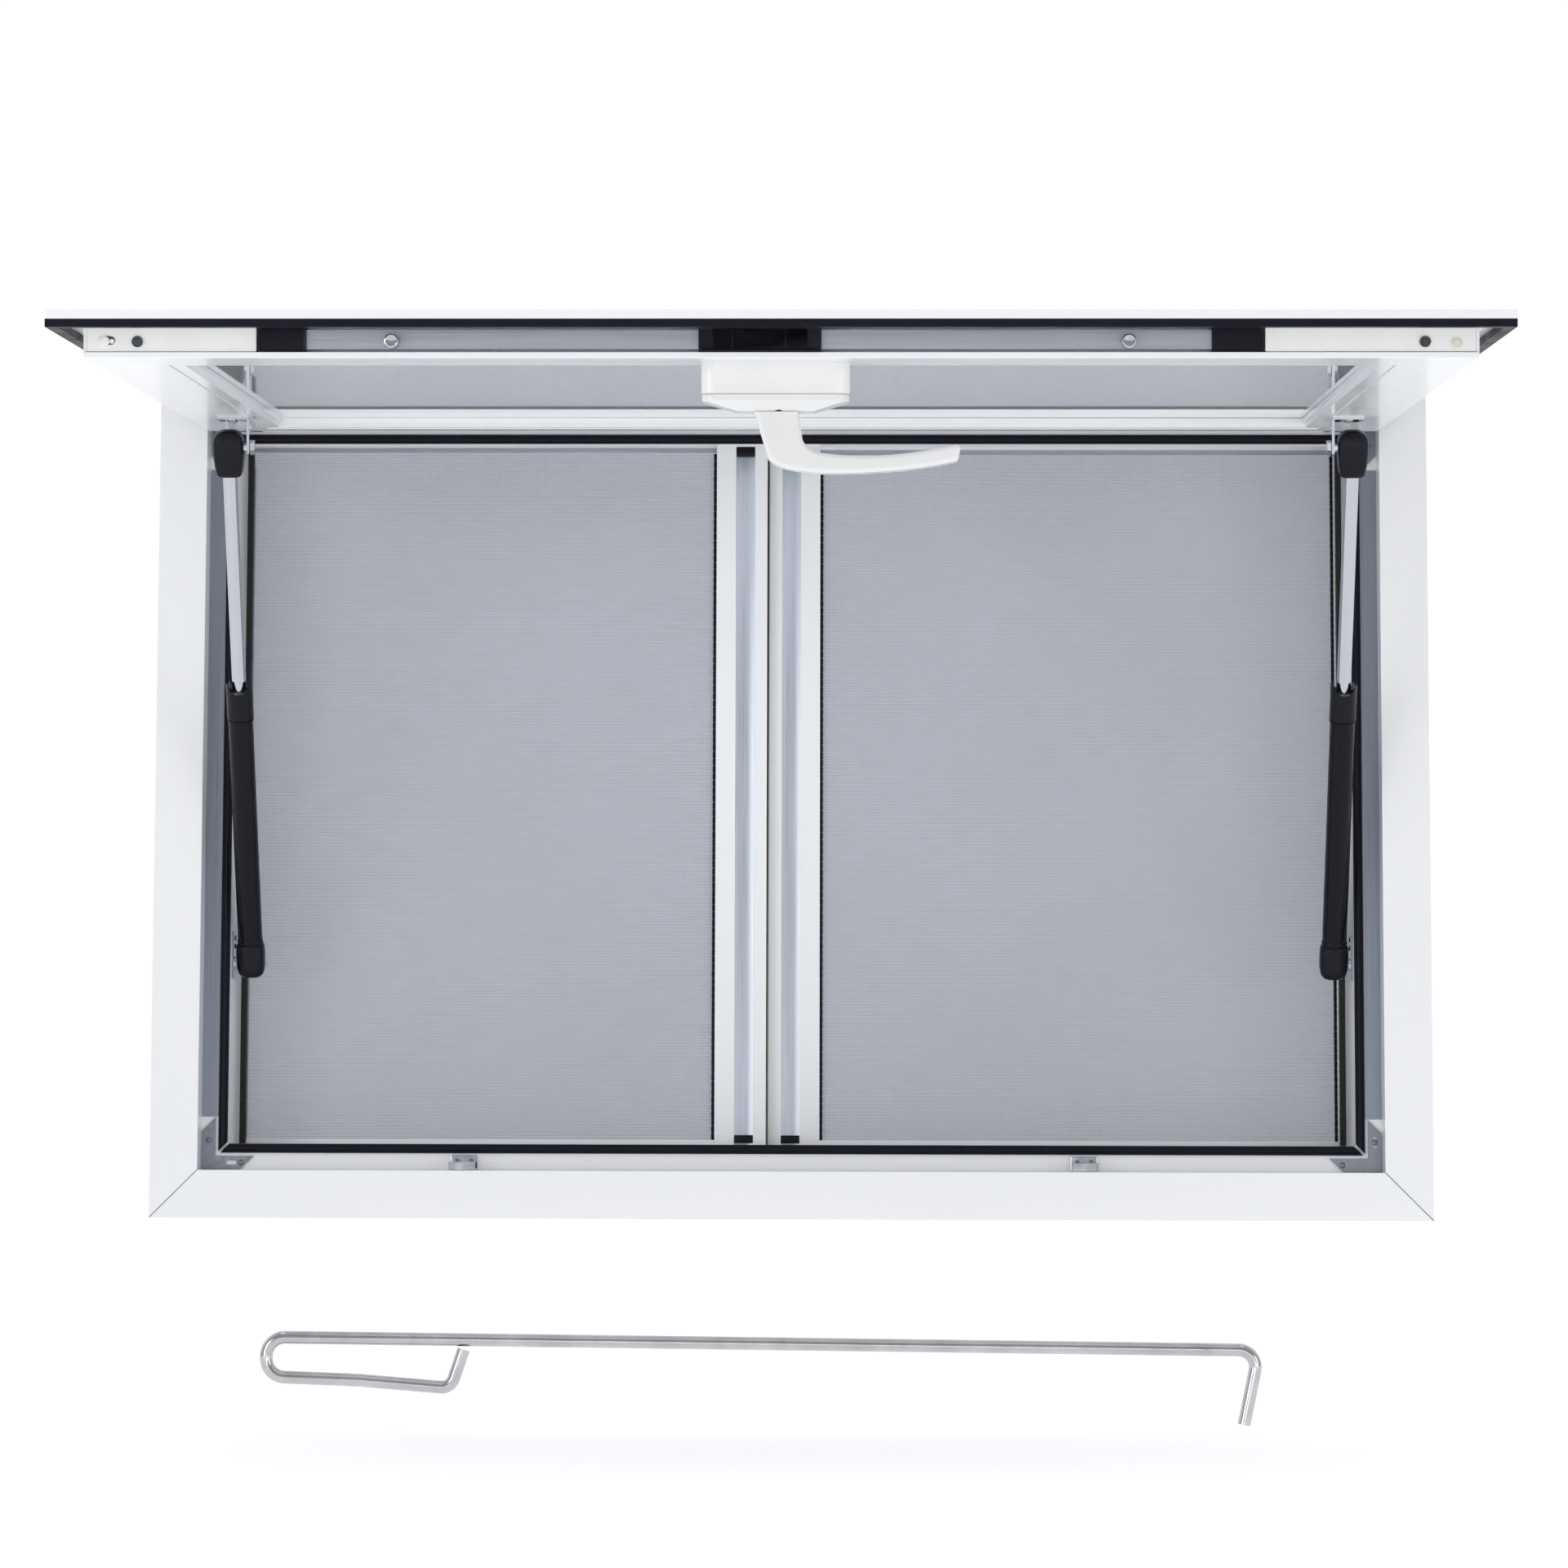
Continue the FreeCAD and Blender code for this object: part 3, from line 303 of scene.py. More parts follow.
def insect_mesh():
    """Grey woven mesh: threads across and up, see-through between them, over and under in turn."""
    finish = Finish("woven_mesh_grey", (0.44, 0.465, 0.55), 0.5)
    split = finish.nodes.new("ShaderNodeSeparateXYZ")
    finish.links.new(finish.place, split.inputs["Vector"])
    across, up = split.outputs["X"], split.outputs["Z"]
    wobble = finish.maths("MULTIPLY", finish.noise(9, 2), 0.3 * MM)

    def thread(coordinate, pitch, half):
        """1 on a thread and 0 between threads, with its round height as a second value."""
        phase = finish.maths("FRACT", finish.maths("DIVIDE", finish.maths("ADD", coordinate, wobble), pitch))
        off_centre = finish.maths("ABSOLUTE", finish.maths("SUBTRACT", phase, 0.5))
        height = finish.maths("SUBTRACT", 1.0, finish.maths("DIVIDE", off_centre, half))
        return finish.maths("GREATER_THAN", height, 0.0), finish.maths("MAXIMUM", height, 0.0)

    weft_here, weft_height = thread(up, WEFT_PITCH, 0.33)
    warp_here, warp_height = thread(across, WARP_PITCH, 0.22)
    solid = finish.maths("MAXIMUM", weft_here, warp_here)
    finish.links.new(solid, finish.surface.inputs["Alpha"])
    rows = finish.maths("FLOOR", finish.maths("DIVIDE", finish.maths("ADD", up, wobble), WEFT_PITCH))
    columns = finish.maths("FLOOR", finish.maths("DIVIDE", across, WARP_PITCH))
    turn = finish.maths("MODULO", finish.maths("ADD", rows, columns), 2.0)
    lifted = finish.maths("MULTIPLY", warp_height, finish.maths("ADD", 0.6, finish.maths("ABSOLUTE", turn)))
    finish.bump(finish.maths("MAXIMUM", weft_height, lifted), 0.9, 0.00025)
    uneven = finish.noise(1, 2, finish.stretched((60, 60, 520)), 0.6)
    finish.tint(finish.maths("ADD", finish.maths("MULTIPLY", uneven, 0.6),
                             finish.maths("MULTIPLY", finish.noise(7, 3), 0.35)), 0.84)
    return finish.material


def studio_floor():
    finish = Finish("pale_floor", (0.93, 0.93, 0.935), 0.6)
    finish.set("Emission Color", (1, 1, 1, 1))
    finish.set("Emission Strength", 0.32)
    finish.tint(finish.noise(2, 2), 0.995)
    return finish.material


POWDER = powder_coat()
SHEET = coated_sheet()
CAST = cast_white()
NYLON = white_nylon()
BEIGE = beige_nylon()
RUBBER = rubber()
BLACK = black_nylon()
TUBE = painted_tube()
PILE = brush_pile()
CHROME = chrome()
WIRE = drawn_wire()
ZINC = zinc_steel("zinc_plated_steel", (0.26, 0.275, 0.315))
DARK_STEEL = zinc_steel("dark_plated_steel", (0.11, 0.117, 0.135))
ALUMINIUM = brushed_aluminium("satin_aluminium", (0.46, 0.485, 0.545), (12, 1400, 1400))
# painted shade: this grey-blue metal stands for the shade in the stile grooves
GROOVE_SHADE_METAL = brushed_aluminium("satin_aluminium_upright", (0.50, 0.55, 0.62), (1400, 1400, 12))
GLASS = clear_glass()
FILLER = joint_filler()
# painted shade: this dark grey-blue metal stands for the shade on the rebate floors
REBATE_SHADE_METAL = brushed_aluminium("dull_aluminium", (0.27, 0.30, 0.36), (1400, 1400, 9))
MESH = insect_mesh()

SLOT_FINISH = {
    "white_frame": POWDER, "white_sheet": SHEET, "white_handle": CAST, "white_plastic": NYLON,
    "black_rubber": RUBBER, "black_pile": PILE, "black_plastic": BLACK, "black_tube": TUBE,
    "chrome": CHROME, "steel": ZINC, "bare_aluminium": ALUMINIUM, "mesh": MESH, "clear_glass": GLASS,
}


def finish_machined_pieces():
    """Give each piece from the design its finish."""
    slots = {entry["node"]: entry["material_slot"] for entry in frame["record"]["subparts"]}
    for name, piece in frame["nodes"].items():
        material = WIRE if name == "drag_hook" else SLOT_FINISH[slots[name]]
        for place in piece.material_slots:
            place.material = material
        if not piece.material_slots:
            piece.data.materials.append(material)


# ------------------------------------------------------------------ mesh helpers

def new_piece(name, mesh, body, material=None, smooth=True):
    """A finished object that sits at the origin and rides on a body."""
    piece = bpy.data.objects.new(name, mesh)
    bpy.context.scene.collection.objects.link(piece)
    if material is not None:
        mesh.materials.clear()
        mesh.materials.append(material)
    if smooth:
        mesh.polygons.foreach_set("use_smooth", [True] * len(mesh.polygons))
        mesh.set_sharp_from_angle(angle=math.radians(38))
    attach(piece, body)
    return piece


def mesh_from(build, name):
    """Run a bmesh recipe, point its faces outwards and return the mesh."""
    work = bmesh.new()
    build(work)
    bmesh.ops.remove_doubles(work, verts=work.verts, dist=1e-7)
    bmesh.ops.recalc_face_normals(work, faces=work.faces)
    mesh = bpy.data.meshes.new(name)
    work.to_mesh(mesh)
    work.free()
    return mesh


def baked(piece, name):
    """The evaluated mesh of a piece with its modifiers applied, and the piece removed."""
    bpy.context.view_layer.update()
    graph = bpy.context.evaluated_depsgraph_get()
    mesh = bpy.data.meshes.new_from_object(piece.evaluated_get(graph))
    mesh.name = name
    bpy.data.objects.remove(piece)
    return mesh


def turned(work, outline, place, segments=32):
    """A turned solid: outline is (radius, height) along local Z, closed at both ends."""
    rings = []
    for radius, height in outline:
        if radius < 1e-6:
            rings.append([work.verts.new(place @ Vector((0, 0, height)))])
            continue
        angles = [2 * math.pi * i / segments for i in range(segments)]
        rings.append([work.verts.new(place @ Vector((radius * math.cos(a), radius * math.sin(a), height)))
                      for a in angles])
    for low, high in zip(rings, rings[1:]):
        for i in range(segments):
            j = (i + 1) % segments
            corners = [low[i % len(low)], low[j % len(low)], high[j % len(high)], high[i % len(high)]]
            distinct = list(dict.fromkeys(corners))
            if len(distinct) > 2:
                work.faces.new(distinct)
    for ring in (rings[0], rings[-1]):
        if len(ring) > 2:
            work.faces.new(ring)


def rounded_box(work, size, place, radius, segments=2):
    """A box with rounded edges, centred on place."""
    made = bmesh.ops.create_cube(work, size=1.0, matrix=place @ Matrix.Diagonal((*size, 1)))
    edges = list({edge for vert in made["verts"] for edge in vert.link_edges})
    bmesh.ops.bevel(work, geom=edges, offset=radius, segments=segments, affect="EDGES", profile=0.5)


def cross_head(radius, height, bar):
    """Pan head with a cross recess, standing on Z = 0."""
    def build(work):
        outline = [(radius * 0.96, 0), (radius, 0.15 * height), (radius * 0.92, 0.6 * height),
                   (radius * 0.66, 0.92 * height), (radius * 0.4, height), (0, height)]
        turned(work, outline, Matrix.Identity(4), 20)
    mesh = mesh_from(build, "screw_head_blank")
    blank = bpy.data.objects.new("screw_head_blank", mesh)
    bpy.context.scene.collection.objects.link(blank)
    def slots(work):
        for size in ((bar, 2.4 * bar, 1.2 * height), (2.4 * bar, bar, 1.2 * height)):
            bmesh.ops.create_cube(work, size=1.0,
                                  matrix=Matrix.Translation((0, 0, height)) @ Matrix.Diagonal((*size, 1)))
    cutter = bpy.data.objects.new("screw_slot", mesh_from(slots, "screw_slot"))
    bpy.context.scene.collection.objects.link(cutter)
    cut = blank.modifiers.new("recess", "BOOLEAN")
    cut.operation = "DIFFERENCE"
    cut.object = cutter
    cut.solver = "EXACT"
    cut.use_self = True
    mesh = baked(blank, "screw_head")
    bpy.data.objects.remove(cutter)
    return mesh


def dome_head(radius, height, pip):
    """Blind rivet head with its small centre hole."""
    def build(work):
        outline = [(radius, 0), (radius * 0.95, 0.35 * height), (radius * 0.7, 0.8 * height),
                   (pip * 1.3, height), (pip, 0.7 * height), (0, 0.7 * height)]
        turned(work, outline, Matrix.Identity(4), 24)
    return mesh_from(build, "rivet_head")


def socket_head(radius, height, key):
    """Rimmed head with a recessed ring and a socket."""
    def build(work):
        rim = [(radius * 0.94, 0), (radius, 0.12 * height), (radius, 0.8 * height), (radius * 0.93, height),
               (radius * 0.8, height), (radius * 0.74, 0.5 * height), (radius * 0.62, 0.45 * height)]
        hollow = [(radius * 0.56, 0.75 * height), (key, 0.8 * height),
                  (key * 0.9, 0.2 * height), (0, 0.15 * height)]
        turned(work, rim + hollow, Matrix.Identity(4), 24)
    return mesh_from(build, "socket_head")


# ------------------------------------------------------------------ geometry nodes

def tree_with(name, inputs):
    """A geometry node tree with named inputs and one geometry output."""
    tree = bpy.data.node_groups.new(name, "GeometryNodeTree")
    tree.interface.new_socket("Geometry", in_out="OUTPUT", socket_type="NodeSocketGeometry")
    tree.interface.new_socket("Geometry", in_out="INPUT", socket_type="NodeSocketGeometry")
    for label, kind in inputs:
        tree.interface.new_socket(label, in_out="INPUT", socket_type=kind)
    start = tree.nodes.new("NodeGroupInput")
    end = tree.nodes.new("NodeGroupOutput")
    return tree, start, end


def grown(name, mesh, tree, values):
    """Run a tree on a mesh with its inputs set, and return the plain mesh it makes."""
    holder = bpy.data.objects.new(name, mesh)
    bpy.context.scene.collection.objects.link(holder)
    modifier = holder.modifiers.new("grow", "NODES")
    modifier.node_group = tree
    for item in tree.interface.items_tree:
        if item.in_out == "INPUT" and item.name in values:
            modifier[item.identifier] = values[item.name]
    return baked(holder, name)


def fastener_tree():
    """The same fastener at every point, turned by the point's own 'turn' about its axis."""
    tree, start, end = tree_with("fasteners", [
        ("Fastener", "NodeSocketObject"), ("Facing", "NodeSocketVector"), ("Material", "NodeSocketMaterial"),
        ("Seed", "NodeSocketInt"),
    ])
    source = tree.nodes.new("GeometryNodeObjectInfo")
    spin = tree.nodes.new("FunctionNodeRandomValue")
    spin.data_type = "FLOAT"
    turn = tree.nodes.new("ShaderNodeCombineXYZ")
    aim = tree.nodes.new("FunctionNodeEulerToRotation")
    facing = tree.nodes.new("FunctionNodeEulerToRotation")
    both = tree.nodes.new("FunctionNodeRotateRotation")
    both.rotation_space = "LOCAL"
    spread = tree.nodes.new("GeometryNodeInstanceOnPoints")
    real = tree.nodes.new("GeometryNodeRealizeInstances")
    paint = tree.nodes.new("GeometryNodeSetMaterial")
    link = tree.links.new
    link(start.outputs["Fastener"], source.inputs["Object"])
    spin.inputs[3].default_value = 2 * math.pi
    link(start.outputs["Seed"], spin.inputs["Seed"])
    link(spin.outputs[1], turn.inputs["Z"])
    link(turn.outputs[0], aim.inputs[0])
    link(start.outputs["Facing"], facing.inputs[0])
    link(facing.outputs[0], both.inputs[0])
    link(aim.outputs[0], both.inputs[1])
    link(start.outputs["Geometry"], spread.inputs["Points"])
    link(source.outputs["Geometry"], spread.inputs["Instance"])
    link(both.outputs[0], spread.inputs["Rotation"])
    link(spread.outputs[0], real.inputs[0])
    link(real.outputs[0], paint.inputs["Geometry"])
    link(start.outputs["Material"], paint.inputs["Material"])
    link(paint.outputs[0], end.inputs[0])
    return tree


FASTENERS = fastener_tree()


def fasteners(name, head, points, facing, body, material, seed=1):
    """One piece holding the same head at each point; facing is an XYZ turn of its axis from +Z."""
    pattern = bpy.data.objects.new(name + "_pattern", head)
    bpy.context.scene.collection.objects.link(pattern)
    spots = bpy.data.meshes.new(name + "_spots")
    spots.from_pydata([tuple(p) for p in points], [], [])
    values = {"Fastener": pattern, "Facing": facing, "Material": material, "Seed": seed}
    mesh = grown(name, spots, FASTENERS, values)
    bpy.data.objects.remove(pattern)
    return new_piece(name, mesh, body)


def bristle_tree():
    """Thin tapered bristles over a strip, each leaning its own way."""
    tree, start, end = tree_with("bristles", [
        ("Bristle length", "NodeSocketFloat"), ("Bristle radius", "NodeSocketFloat"),
        ("Lean", "NodeSocketFloat"),
        ("Root turn", "NodeSocketVector"), ("Material", "NodeSocketMaterial"), ("Seed", "NodeSocketInt"),
    ])
    hair = tree.nodes.new("GeometryNodeMeshCone")
    hair.inputs["Vertices"].default_value = 4
    lean = tree.nodes.new("FunctionNodeRandomValue")
    lean.data_type = "FLOAT_VECTOR"
    negative = tree.nodes.new("ShaderNodeMath")
    negative.operation = "MULTIPLY"
    negative.inputs[1].default_value = -1
    total = tree.nodes.new("ShaderNodeVectorMath")
    aim = tree.nodes.new("FunctionNodeEulerToRotation")
    spread = tree.nodes.new("GeometryNodeInstanceOnPoints")
    real = tree.nodes.new("GeometryNodeRealizeInstances")
    paint = tree.nodes.new("GeometryNodeSetMaterial")
    link = tree.links.new
    link(start.outputs["Bristle length"], hair.inputs["Depth"])
    link(start.outputs["Bristle radius"], hair.inputs["Radius Bottom"])
    link(start.outputs["Lean"], lean.inputs[1])
    link(start.outputs["Lean"], negative.inputs[0])
    link(negative.outputs[0], lean.inputs[0])
    link(start.outputs["Seed"], lean.inputs["Seed"])
    link(lean.outputs[0], total.inputs[0])
    link(start.outputs["Root turn"], total.inputs[1])
    link(total.outputs[0], aim.inputs[0])
    link(start.outputs["Geometry"], spread.inputs["Points"])
    link(hair.outputs[0], spread.inputs["Instance"])
    link(aim.outputs[0], spread.inputs["Rotation"])
    link(spread.outputs[0], real.inputs[0])
    link(real.outputs[0], paint.inputs["Geometry"])
    link(start.outputs["Material"], paint.inputs["Material"])
    link(paint.outputs[0], end.inputs[0])
    return tree


# ------------------------------------------------------------------ screens

def woven_screens():
    """The stretched mesh of each screen, its black holding cord and the plugs in its stile groove."""
    for side in ("left", "right"):
        body = "screen_" + side
        low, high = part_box(body + "_mesh")
        middle = (low.y + high.y) / 2
        across, tall = 48, 64
        def weave(work):
            grid = [[work.verts.new((low.x + (high.x - low.x) * i / across, middle,
                                     low.z + (high.z - low.z) * j / tall)) for i in range(across + 1)]
                    for j in range(tall + 1)]
            for j in range(tall):
                for i in range(across):
                    work.faces.new([grid[j][i], grid[j][i + 1], grid[j + 1][i + 1], grid[j + 1][i]])
        mesh = mesh_from(weave, body + "_weave")
        cloth = new_piece(body + "_weave", mesh, body, MESH, smooth=False)
        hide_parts(body + "_mesh")
        cord = holding_cord(body, low, high)
        stile_plugs(side, body)
        # painted shade: grey strip in the stile groove
        groove_strip(side, body)


CORD = {"radius": 1.2 * MM, "waist": 0.8 * MM, "link": 5.4 * MM, "below_face": 1.7 * MM}


def holding_cord(body, low, high):
    """The notched cord that is pressed in beside both upright edges of the mesh."""
    link, radius, waist = CORD["link"], CORD["radius"], CORD["waist"]
    def bead(work):
        outline = [(0, 0), (waist, 0), (radius, 0.1 * link), (radius, 0.86 * link),
                   (waist, 0.96 * link), (waist, link), (0, link)]
        turned(work, outline, Matrix.Identity(4), 12)
    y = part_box(body + "_frame")[0].y + CORD["below_face"]
    count = int((high.z - low.z) / link)
    points = [(x, y, low.z + i * link) for x in (low.x + radius, high.x - radius) for i in range(count)]
    return fasteners(body + "_spline", mesh_from(bead, "cord_link"), points, (0, 0, 0),
                     body, RUBBER)


STILE = {"band": 14.4 * MM, "groove": 13.8 * MM, "edge": 9.4 * MM, "deep": 4.5 * MM}


def groove_span(side, body):
    """Left and right edges of the groove in a meeting stile's face."""
    low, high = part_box(body + "_frame")
    start = high.x - STILE["edge"] - STILE["groove"] if side == "left" else low.x + STILE["edge"]
    return start, start + STILE["groove"]


def groove_strip(side, body):
    """A hollow-faced grey aluminium strip that lines the groove of the meeting stile; its grey is painted shade
    for the groove.
    """
    low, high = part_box(body + "_frame")
    start, end = groove_span(side, body)
    floor_y = low.y + STILE["deep"]
    across = [i / 12 for i in range(13)]
    dip = [1.0 - 0.75 * math.sin(math.pi * t) for t in across]
    def build(work):
        section = [(start + (end - start) * t, floor_y - 0.4 * MM - 1.6 * MM * d)
                   for t, d in zip(across, dip)]
        section += [(end, floor_y - 0.02 * MM), (start, floor_y - 0.02 * MM)]
        ends = [[work.verts.new((x, y, z)) for x, y in section] for z in (low.z + 13 * MM, high.z - 13 * MM)]
        count = len(section)
        for i in range(count):
            j = (i + 1) % count
            work.faces.new([ends[0][i], ends[0][j], ends[1][j], ends[1][i]])
        work.faces.new(ends[0])
        work.faces.new(ends[1])
    new_piece(body + "_groove_strip", mesh_from(build, "groove_strip"),
              body, GROOVE_SHADE_METAL)


def meeting_fin():
    """The black brush fin in the gap between the two screens, fixed to the left one; it widens towards the top so
    that its black also paints the shade in the gap.
    """
    low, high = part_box("screen_left_frame")
    def build(work):
        # painted shade: the fin is tapered to follow the dark gap, narrowest at the bottom and widest at the top
        for t in range(24):
            bottom = low.z + 8 * MM + (high.z - low.z - 16 * MM) * t / 24
            tall = (high.z - low.z - 16 * MM) / 24
            width = (0.5 + 0.8 * t / 23) * MM
            place = Matrix.Translation((high.x + width / 2 - 0.05 * MM, low.y + 4.2 * MM, bottom + tall / 2))
            bmesh.ops.create_cube(work, size=1.0, matrix=place @ Matrix.Diagonal((width, 4 * MM, tall, 1)))
    new_piece("screen_left_fin", mesh_from(build, "meeting_fin"), "screen_left", PILE)


def stile_plugs(side, body):
    """Two black nylon plugs that close the ends of the meeting stile's groove."""
    low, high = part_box(body + "_frame")
    start, end = groove_span(side, body)
    middle = (start + end) / 2
    def build(work):
        for z, tall in ((low.z + 17.2 * MM, 5.8 * MM), (high.z - 17.6 * MM, 7.3 * MM)):
            size = (STILE["groove"] - 0.3 * MM, STILE["deep"] + 0.4 * MM, tall)
            place = Matrix.Translation((middle, low.y + STILE["deep"] / 2 - 0.1 * MM, z))
            rounded_box(work, size, place, 0.6 * MM)
            rib = (STILE["groove"] * 0.55, 0.5 * MM, 1.2 * MM)
            rounded_box(work, rib, Matrix.Translation((middle, low.y - 0.2 * MM, z)), 0.2 * MM)
    new_piece(body + "_plugs", mesh_from(build, body + "_plugs"), body, BLACK)


def brush_strips():
    """Bristles along the inner edge of each pile strip."""
    tree = bristle_tree()
    low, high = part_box("jamb_pile_strips")
    for side, edge, lean in (("left", low.x, 1), ("right", high.x, -1)):
        x = edge + lean * 4.0 * MM
        points = []
        rows, step = 3, 1.1 * MM
        count = int((high.z - low.z) / step)
        for row in range(rows):
            y = low.y + (row + 0.7) * (high.y - low.y) / (rows + 0.4)
            points += [(x, y, low.z + (i + 0.33 * row) * step) for i in range(count)]
        spots = bpy.data.meshes.new("bristle_spots")
        spots.from_pydata(points, [], [])
        values = {"Bristle length": 1.1 * MM, "Bristle radius": 0.3 * MM, "Lean": 0.3,
                  "Root turn": (0, lean * math.pi / 2, 0), "Material": PILE, "Seed": 4}
        mesh = grown("brush_strip_" + side, spots, tree, values)
        new_piece("brush_strip_" + side, mesh, "frame", smooth=False)


# ------------------------------------------------------------------ fasteners and small hardware

FACING_OUT = (math.pi / 2, 0, 0)
END_COVER_FACE = 544.8 * MM
GEARBOX_FACE = 546.6 * MM


def centres(node):
    """Middle of each separate solid of a node, found from its loose triangles."""
    mesh = frame["nodes"][node].data
    work = bmesh.new()
    work.from_mesh(mesh)
    bmesh.ops.remove_doubles(work, verts=work.verts, dist=1e-6)
    seen, found = set(), []
    for vert in work.verts:
        if vert in seen:
            continue
        island, queue = [], [vert]
        seen.add(vert)
        while queue:
            here = queue.pop()
            island.append(here.co.copy())
            for edge in here.link_edges:
                other = edge.other_vert(here)
                if other not in seen:
                    seen.add(other)
                    queue.append(other)
        low = Vector([min(p[i] for p in island) for i in range(3)])
        high = Vector([max(p[i] for p in island) for i in range(3)])
        found.append((low, high))
    work.free()
    return found


def frame_fasteners():
    """Screw heads on the keepers and hinge rail, and rivets on the corner plates."""
    heads = [((low.x + high.x) / 2, high.y, (low.z + high.z) / 2) for low, high in centres("keeper_screws")]
    screws = fasteners("keeper_screw_heads", cross_head(2.0 * MM, 1.2 * MM, 0.5 * MM), heads, FACING_OUT,
                       "frame", ZINC, seed=3)
    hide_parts("keeper_screws")
    heads = [((low.x + high.x) / 2, high.y, (low.z + high.z) / 2)
             for low, high in centres("hinge_rail_screws")]
    screws = fasteners("hinge_rail_screw_heads", cross_head(3.2 * MM, 1.6 * MM, 0.7 * MM), heads, FACING_OUT,
                       "frame", ZINC, seed=5)
    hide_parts("hinge_rail_screws")
    spots = []
    for low, high in centres("corner_plates"):
        left, bottom = low.x < 0, low.z < 0.3
        corner = Vector((low.x if left else high.x, low.y, low.z if bottom else high.z))
        inward = Vector((1 if left else -1, 0, 1 if bottom else -1))
        for along, aside in ((28, 4.75), (4.75, 21)):
            spots.append(corner + Vector((inward.x * along * MM, 0, inward.z * aside * MM)))
    fasteners("corner_rivets", dome_head(2.1 * MM, 1.0 * MM, 0.6 * MM), spots,
              FACING_OUT, "frame", ZINC)


def rebate_liners():
    """Dull aluminium strips over the floor of the rebate up both jambs; their dark grey-blue is painted shade for
    the recessed rebate floor.
    """
    plates = [high.z for low, high in centres("corner_plates") if high.z < 0.3]
    tops = [low.z for low, high in centres("corner_plates") if low.z > 0.3]
    seal_low, seal_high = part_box("frame_seal")
    floor_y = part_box("corner_plates")[1].y
    inner_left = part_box("frame_jamb_left")[0].x + 34.3 * MM
    inner_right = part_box("frame_jamb_right")[1].x - 34.3 * MM
    def build(work):
        for low_x, high_x in ((inner_left, seal_low.x - 0.4 * MM), (seal_high.x + 0.4 * MM, inner_right)):
            low_z, high_z = max(plates) + 0.5 * MM, min(tops) - 0.5 * MM
            size = (high_x - low_x, 0.3 * MM, high_z - low_z)
            middle = Vector(((low_x + high_x) / 2, floor_y - 0.15 * MM, (low_z + high_z) / 2))
            bmesh.ops.create_cube(work, size=1.0,
                                  matrix=Matrix.Translation(middle) @ Matrix.Diagonal((*size, 1)))
    new_piece("rebate_liners", mesh_from(build, "rebate_liners"), "frame", REBATE_SHADE_METAL)


def mitre_joints():
    """The fine dark line of filler in each mitre of the flange."""
    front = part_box("frame_sill")[0].y
    low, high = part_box("frame_jamb_left")[0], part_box("frame_jamb_right")[1]
    leg, half = 34.2 * MM, 0.28 * MM
    def build(work):
        for x, side in ((low.x, 1), (high.x, -1)):
            for z, way in ((low.z, 1), (high.z, -1)):
                middle = Vector((x + side * leg / 2, front - 0.02 * MM, z + way * leg / 2))
                turn = Matrix.Rotation(-side * way * math.pi / 4, 4, "Y")
                size = Matrix.Diagonal((leg * math.sqrt(2) - 0.6 * MM, 0.1 * MM, 2 * half, 1))
                bmesh.ops.create_cube(work, size=1.0, matrix=Matrix.Translation(middle) @ turn @ size)
    new_piece("mitre_joints", mesh_from(build, "mitre_joints"), "frame", FILLER)


def rail_hardware():
    """Socket screws, pins, and the button at the ends of the lock rail's groove."""
    run = END_COVER_FACE
    spots = [on_sash(x, 11.5 * MM, run) for x in (-0.388, 0.388)]
    turn = Vector((0, 0, 1)).rotation_difference(DOWN_SASH).to_euler()
    screws = fasteners("rail_screw_heads", socket_head(3.4 * MM, 1.3 * MM, 1.5 * MM), spots, tuple(turn),
                       "awning", DARK_STEEL, seed=2)
    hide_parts("rail_screws")
    def slot(work):
        for x, radius in ((-0.4040, 2.6 * MM), (-0.4062, 2.9 * MM), (-0.4084, 2.6 * MM)):
            place = Matrix.Translation(on_sash(x, 10.8 * MM, run)) @ turn.to_matrix().to_4x4()
            turned(work, [(radius, 0), (radius, 0.15 * MM), (0, 0.15 * MM)], place, 20)
    new_piece("end_cover_slot", mesh_from(slot, "end_cover_slot"), "awning", DARK_STEEL)
    def pins(work):
        for x, radius, tall in ((-0.4078, 3.1 * MM, 2.4 * MM), (-0.4034, 1.5 * MM, 1.5 * MM)):
            place = Matrix.Translation(on_sash(x, 11.3 * MM, run)) @ turn.to_matrix().to_4x4()
            turned(work, [(radius, 0), (radius, 0.6 * tall), (radius * 0.7, tall), (0, tall)], place, 20)
    new_piece("end_cover_pins", mesh_from(pins, "end_cover_pins"), "awning", NYLON)
    def button(work):
        place = Matrix.Translation(on_sash(0.407, 12.5 * MM, run)) @ turn.to_matrix().to_4x4()
        turned(work, [(3.0 * MM, 0), (3.0 * MM, 1.0 * MM), (2.4 * MM, 1.6 * MM), (0, 1.7 * MM)], place, 24)
    new_piece("end_cover_button", mesh_from(button, "end_cover_button"), "awning", BEIGE)


def lock_rollers():
    """Turned rollers with a collar and a socket, over the plain rollers of the lock bar."""
    turn = Vector((0, 0, 1)).rotation_difference(DOWN_SASH).to_matrix().to_4x4()
    def build(work):
        for low, high in centres("lock_rollers"):
            x = (low.x + high.x) / 2
            place = Matrix.Translation(on_sash(x, 11.5 * MM, 0.5429)) @ turn
            outline = [(2.2, 0), (2.2, 3.3), (4.1, 3.4), (4.4, 3.8), (4.4, 7.7),
                       (4.1, 8.2), (3.5, 8.4), (3.1, 8.1),
                       (3.0, 6.9), (1.9, 6.8), (1.8, 5.4), (0, 5.2)]
            turned(work, [(r * MM, h * MM) for r, h in outline], place, 36)
    piece = new_piece("turned_lock_rollers", mesh_from(build, "turned_lock_rollers"),
                      "lock_bar", CHROME)
    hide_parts("lock_rollers")


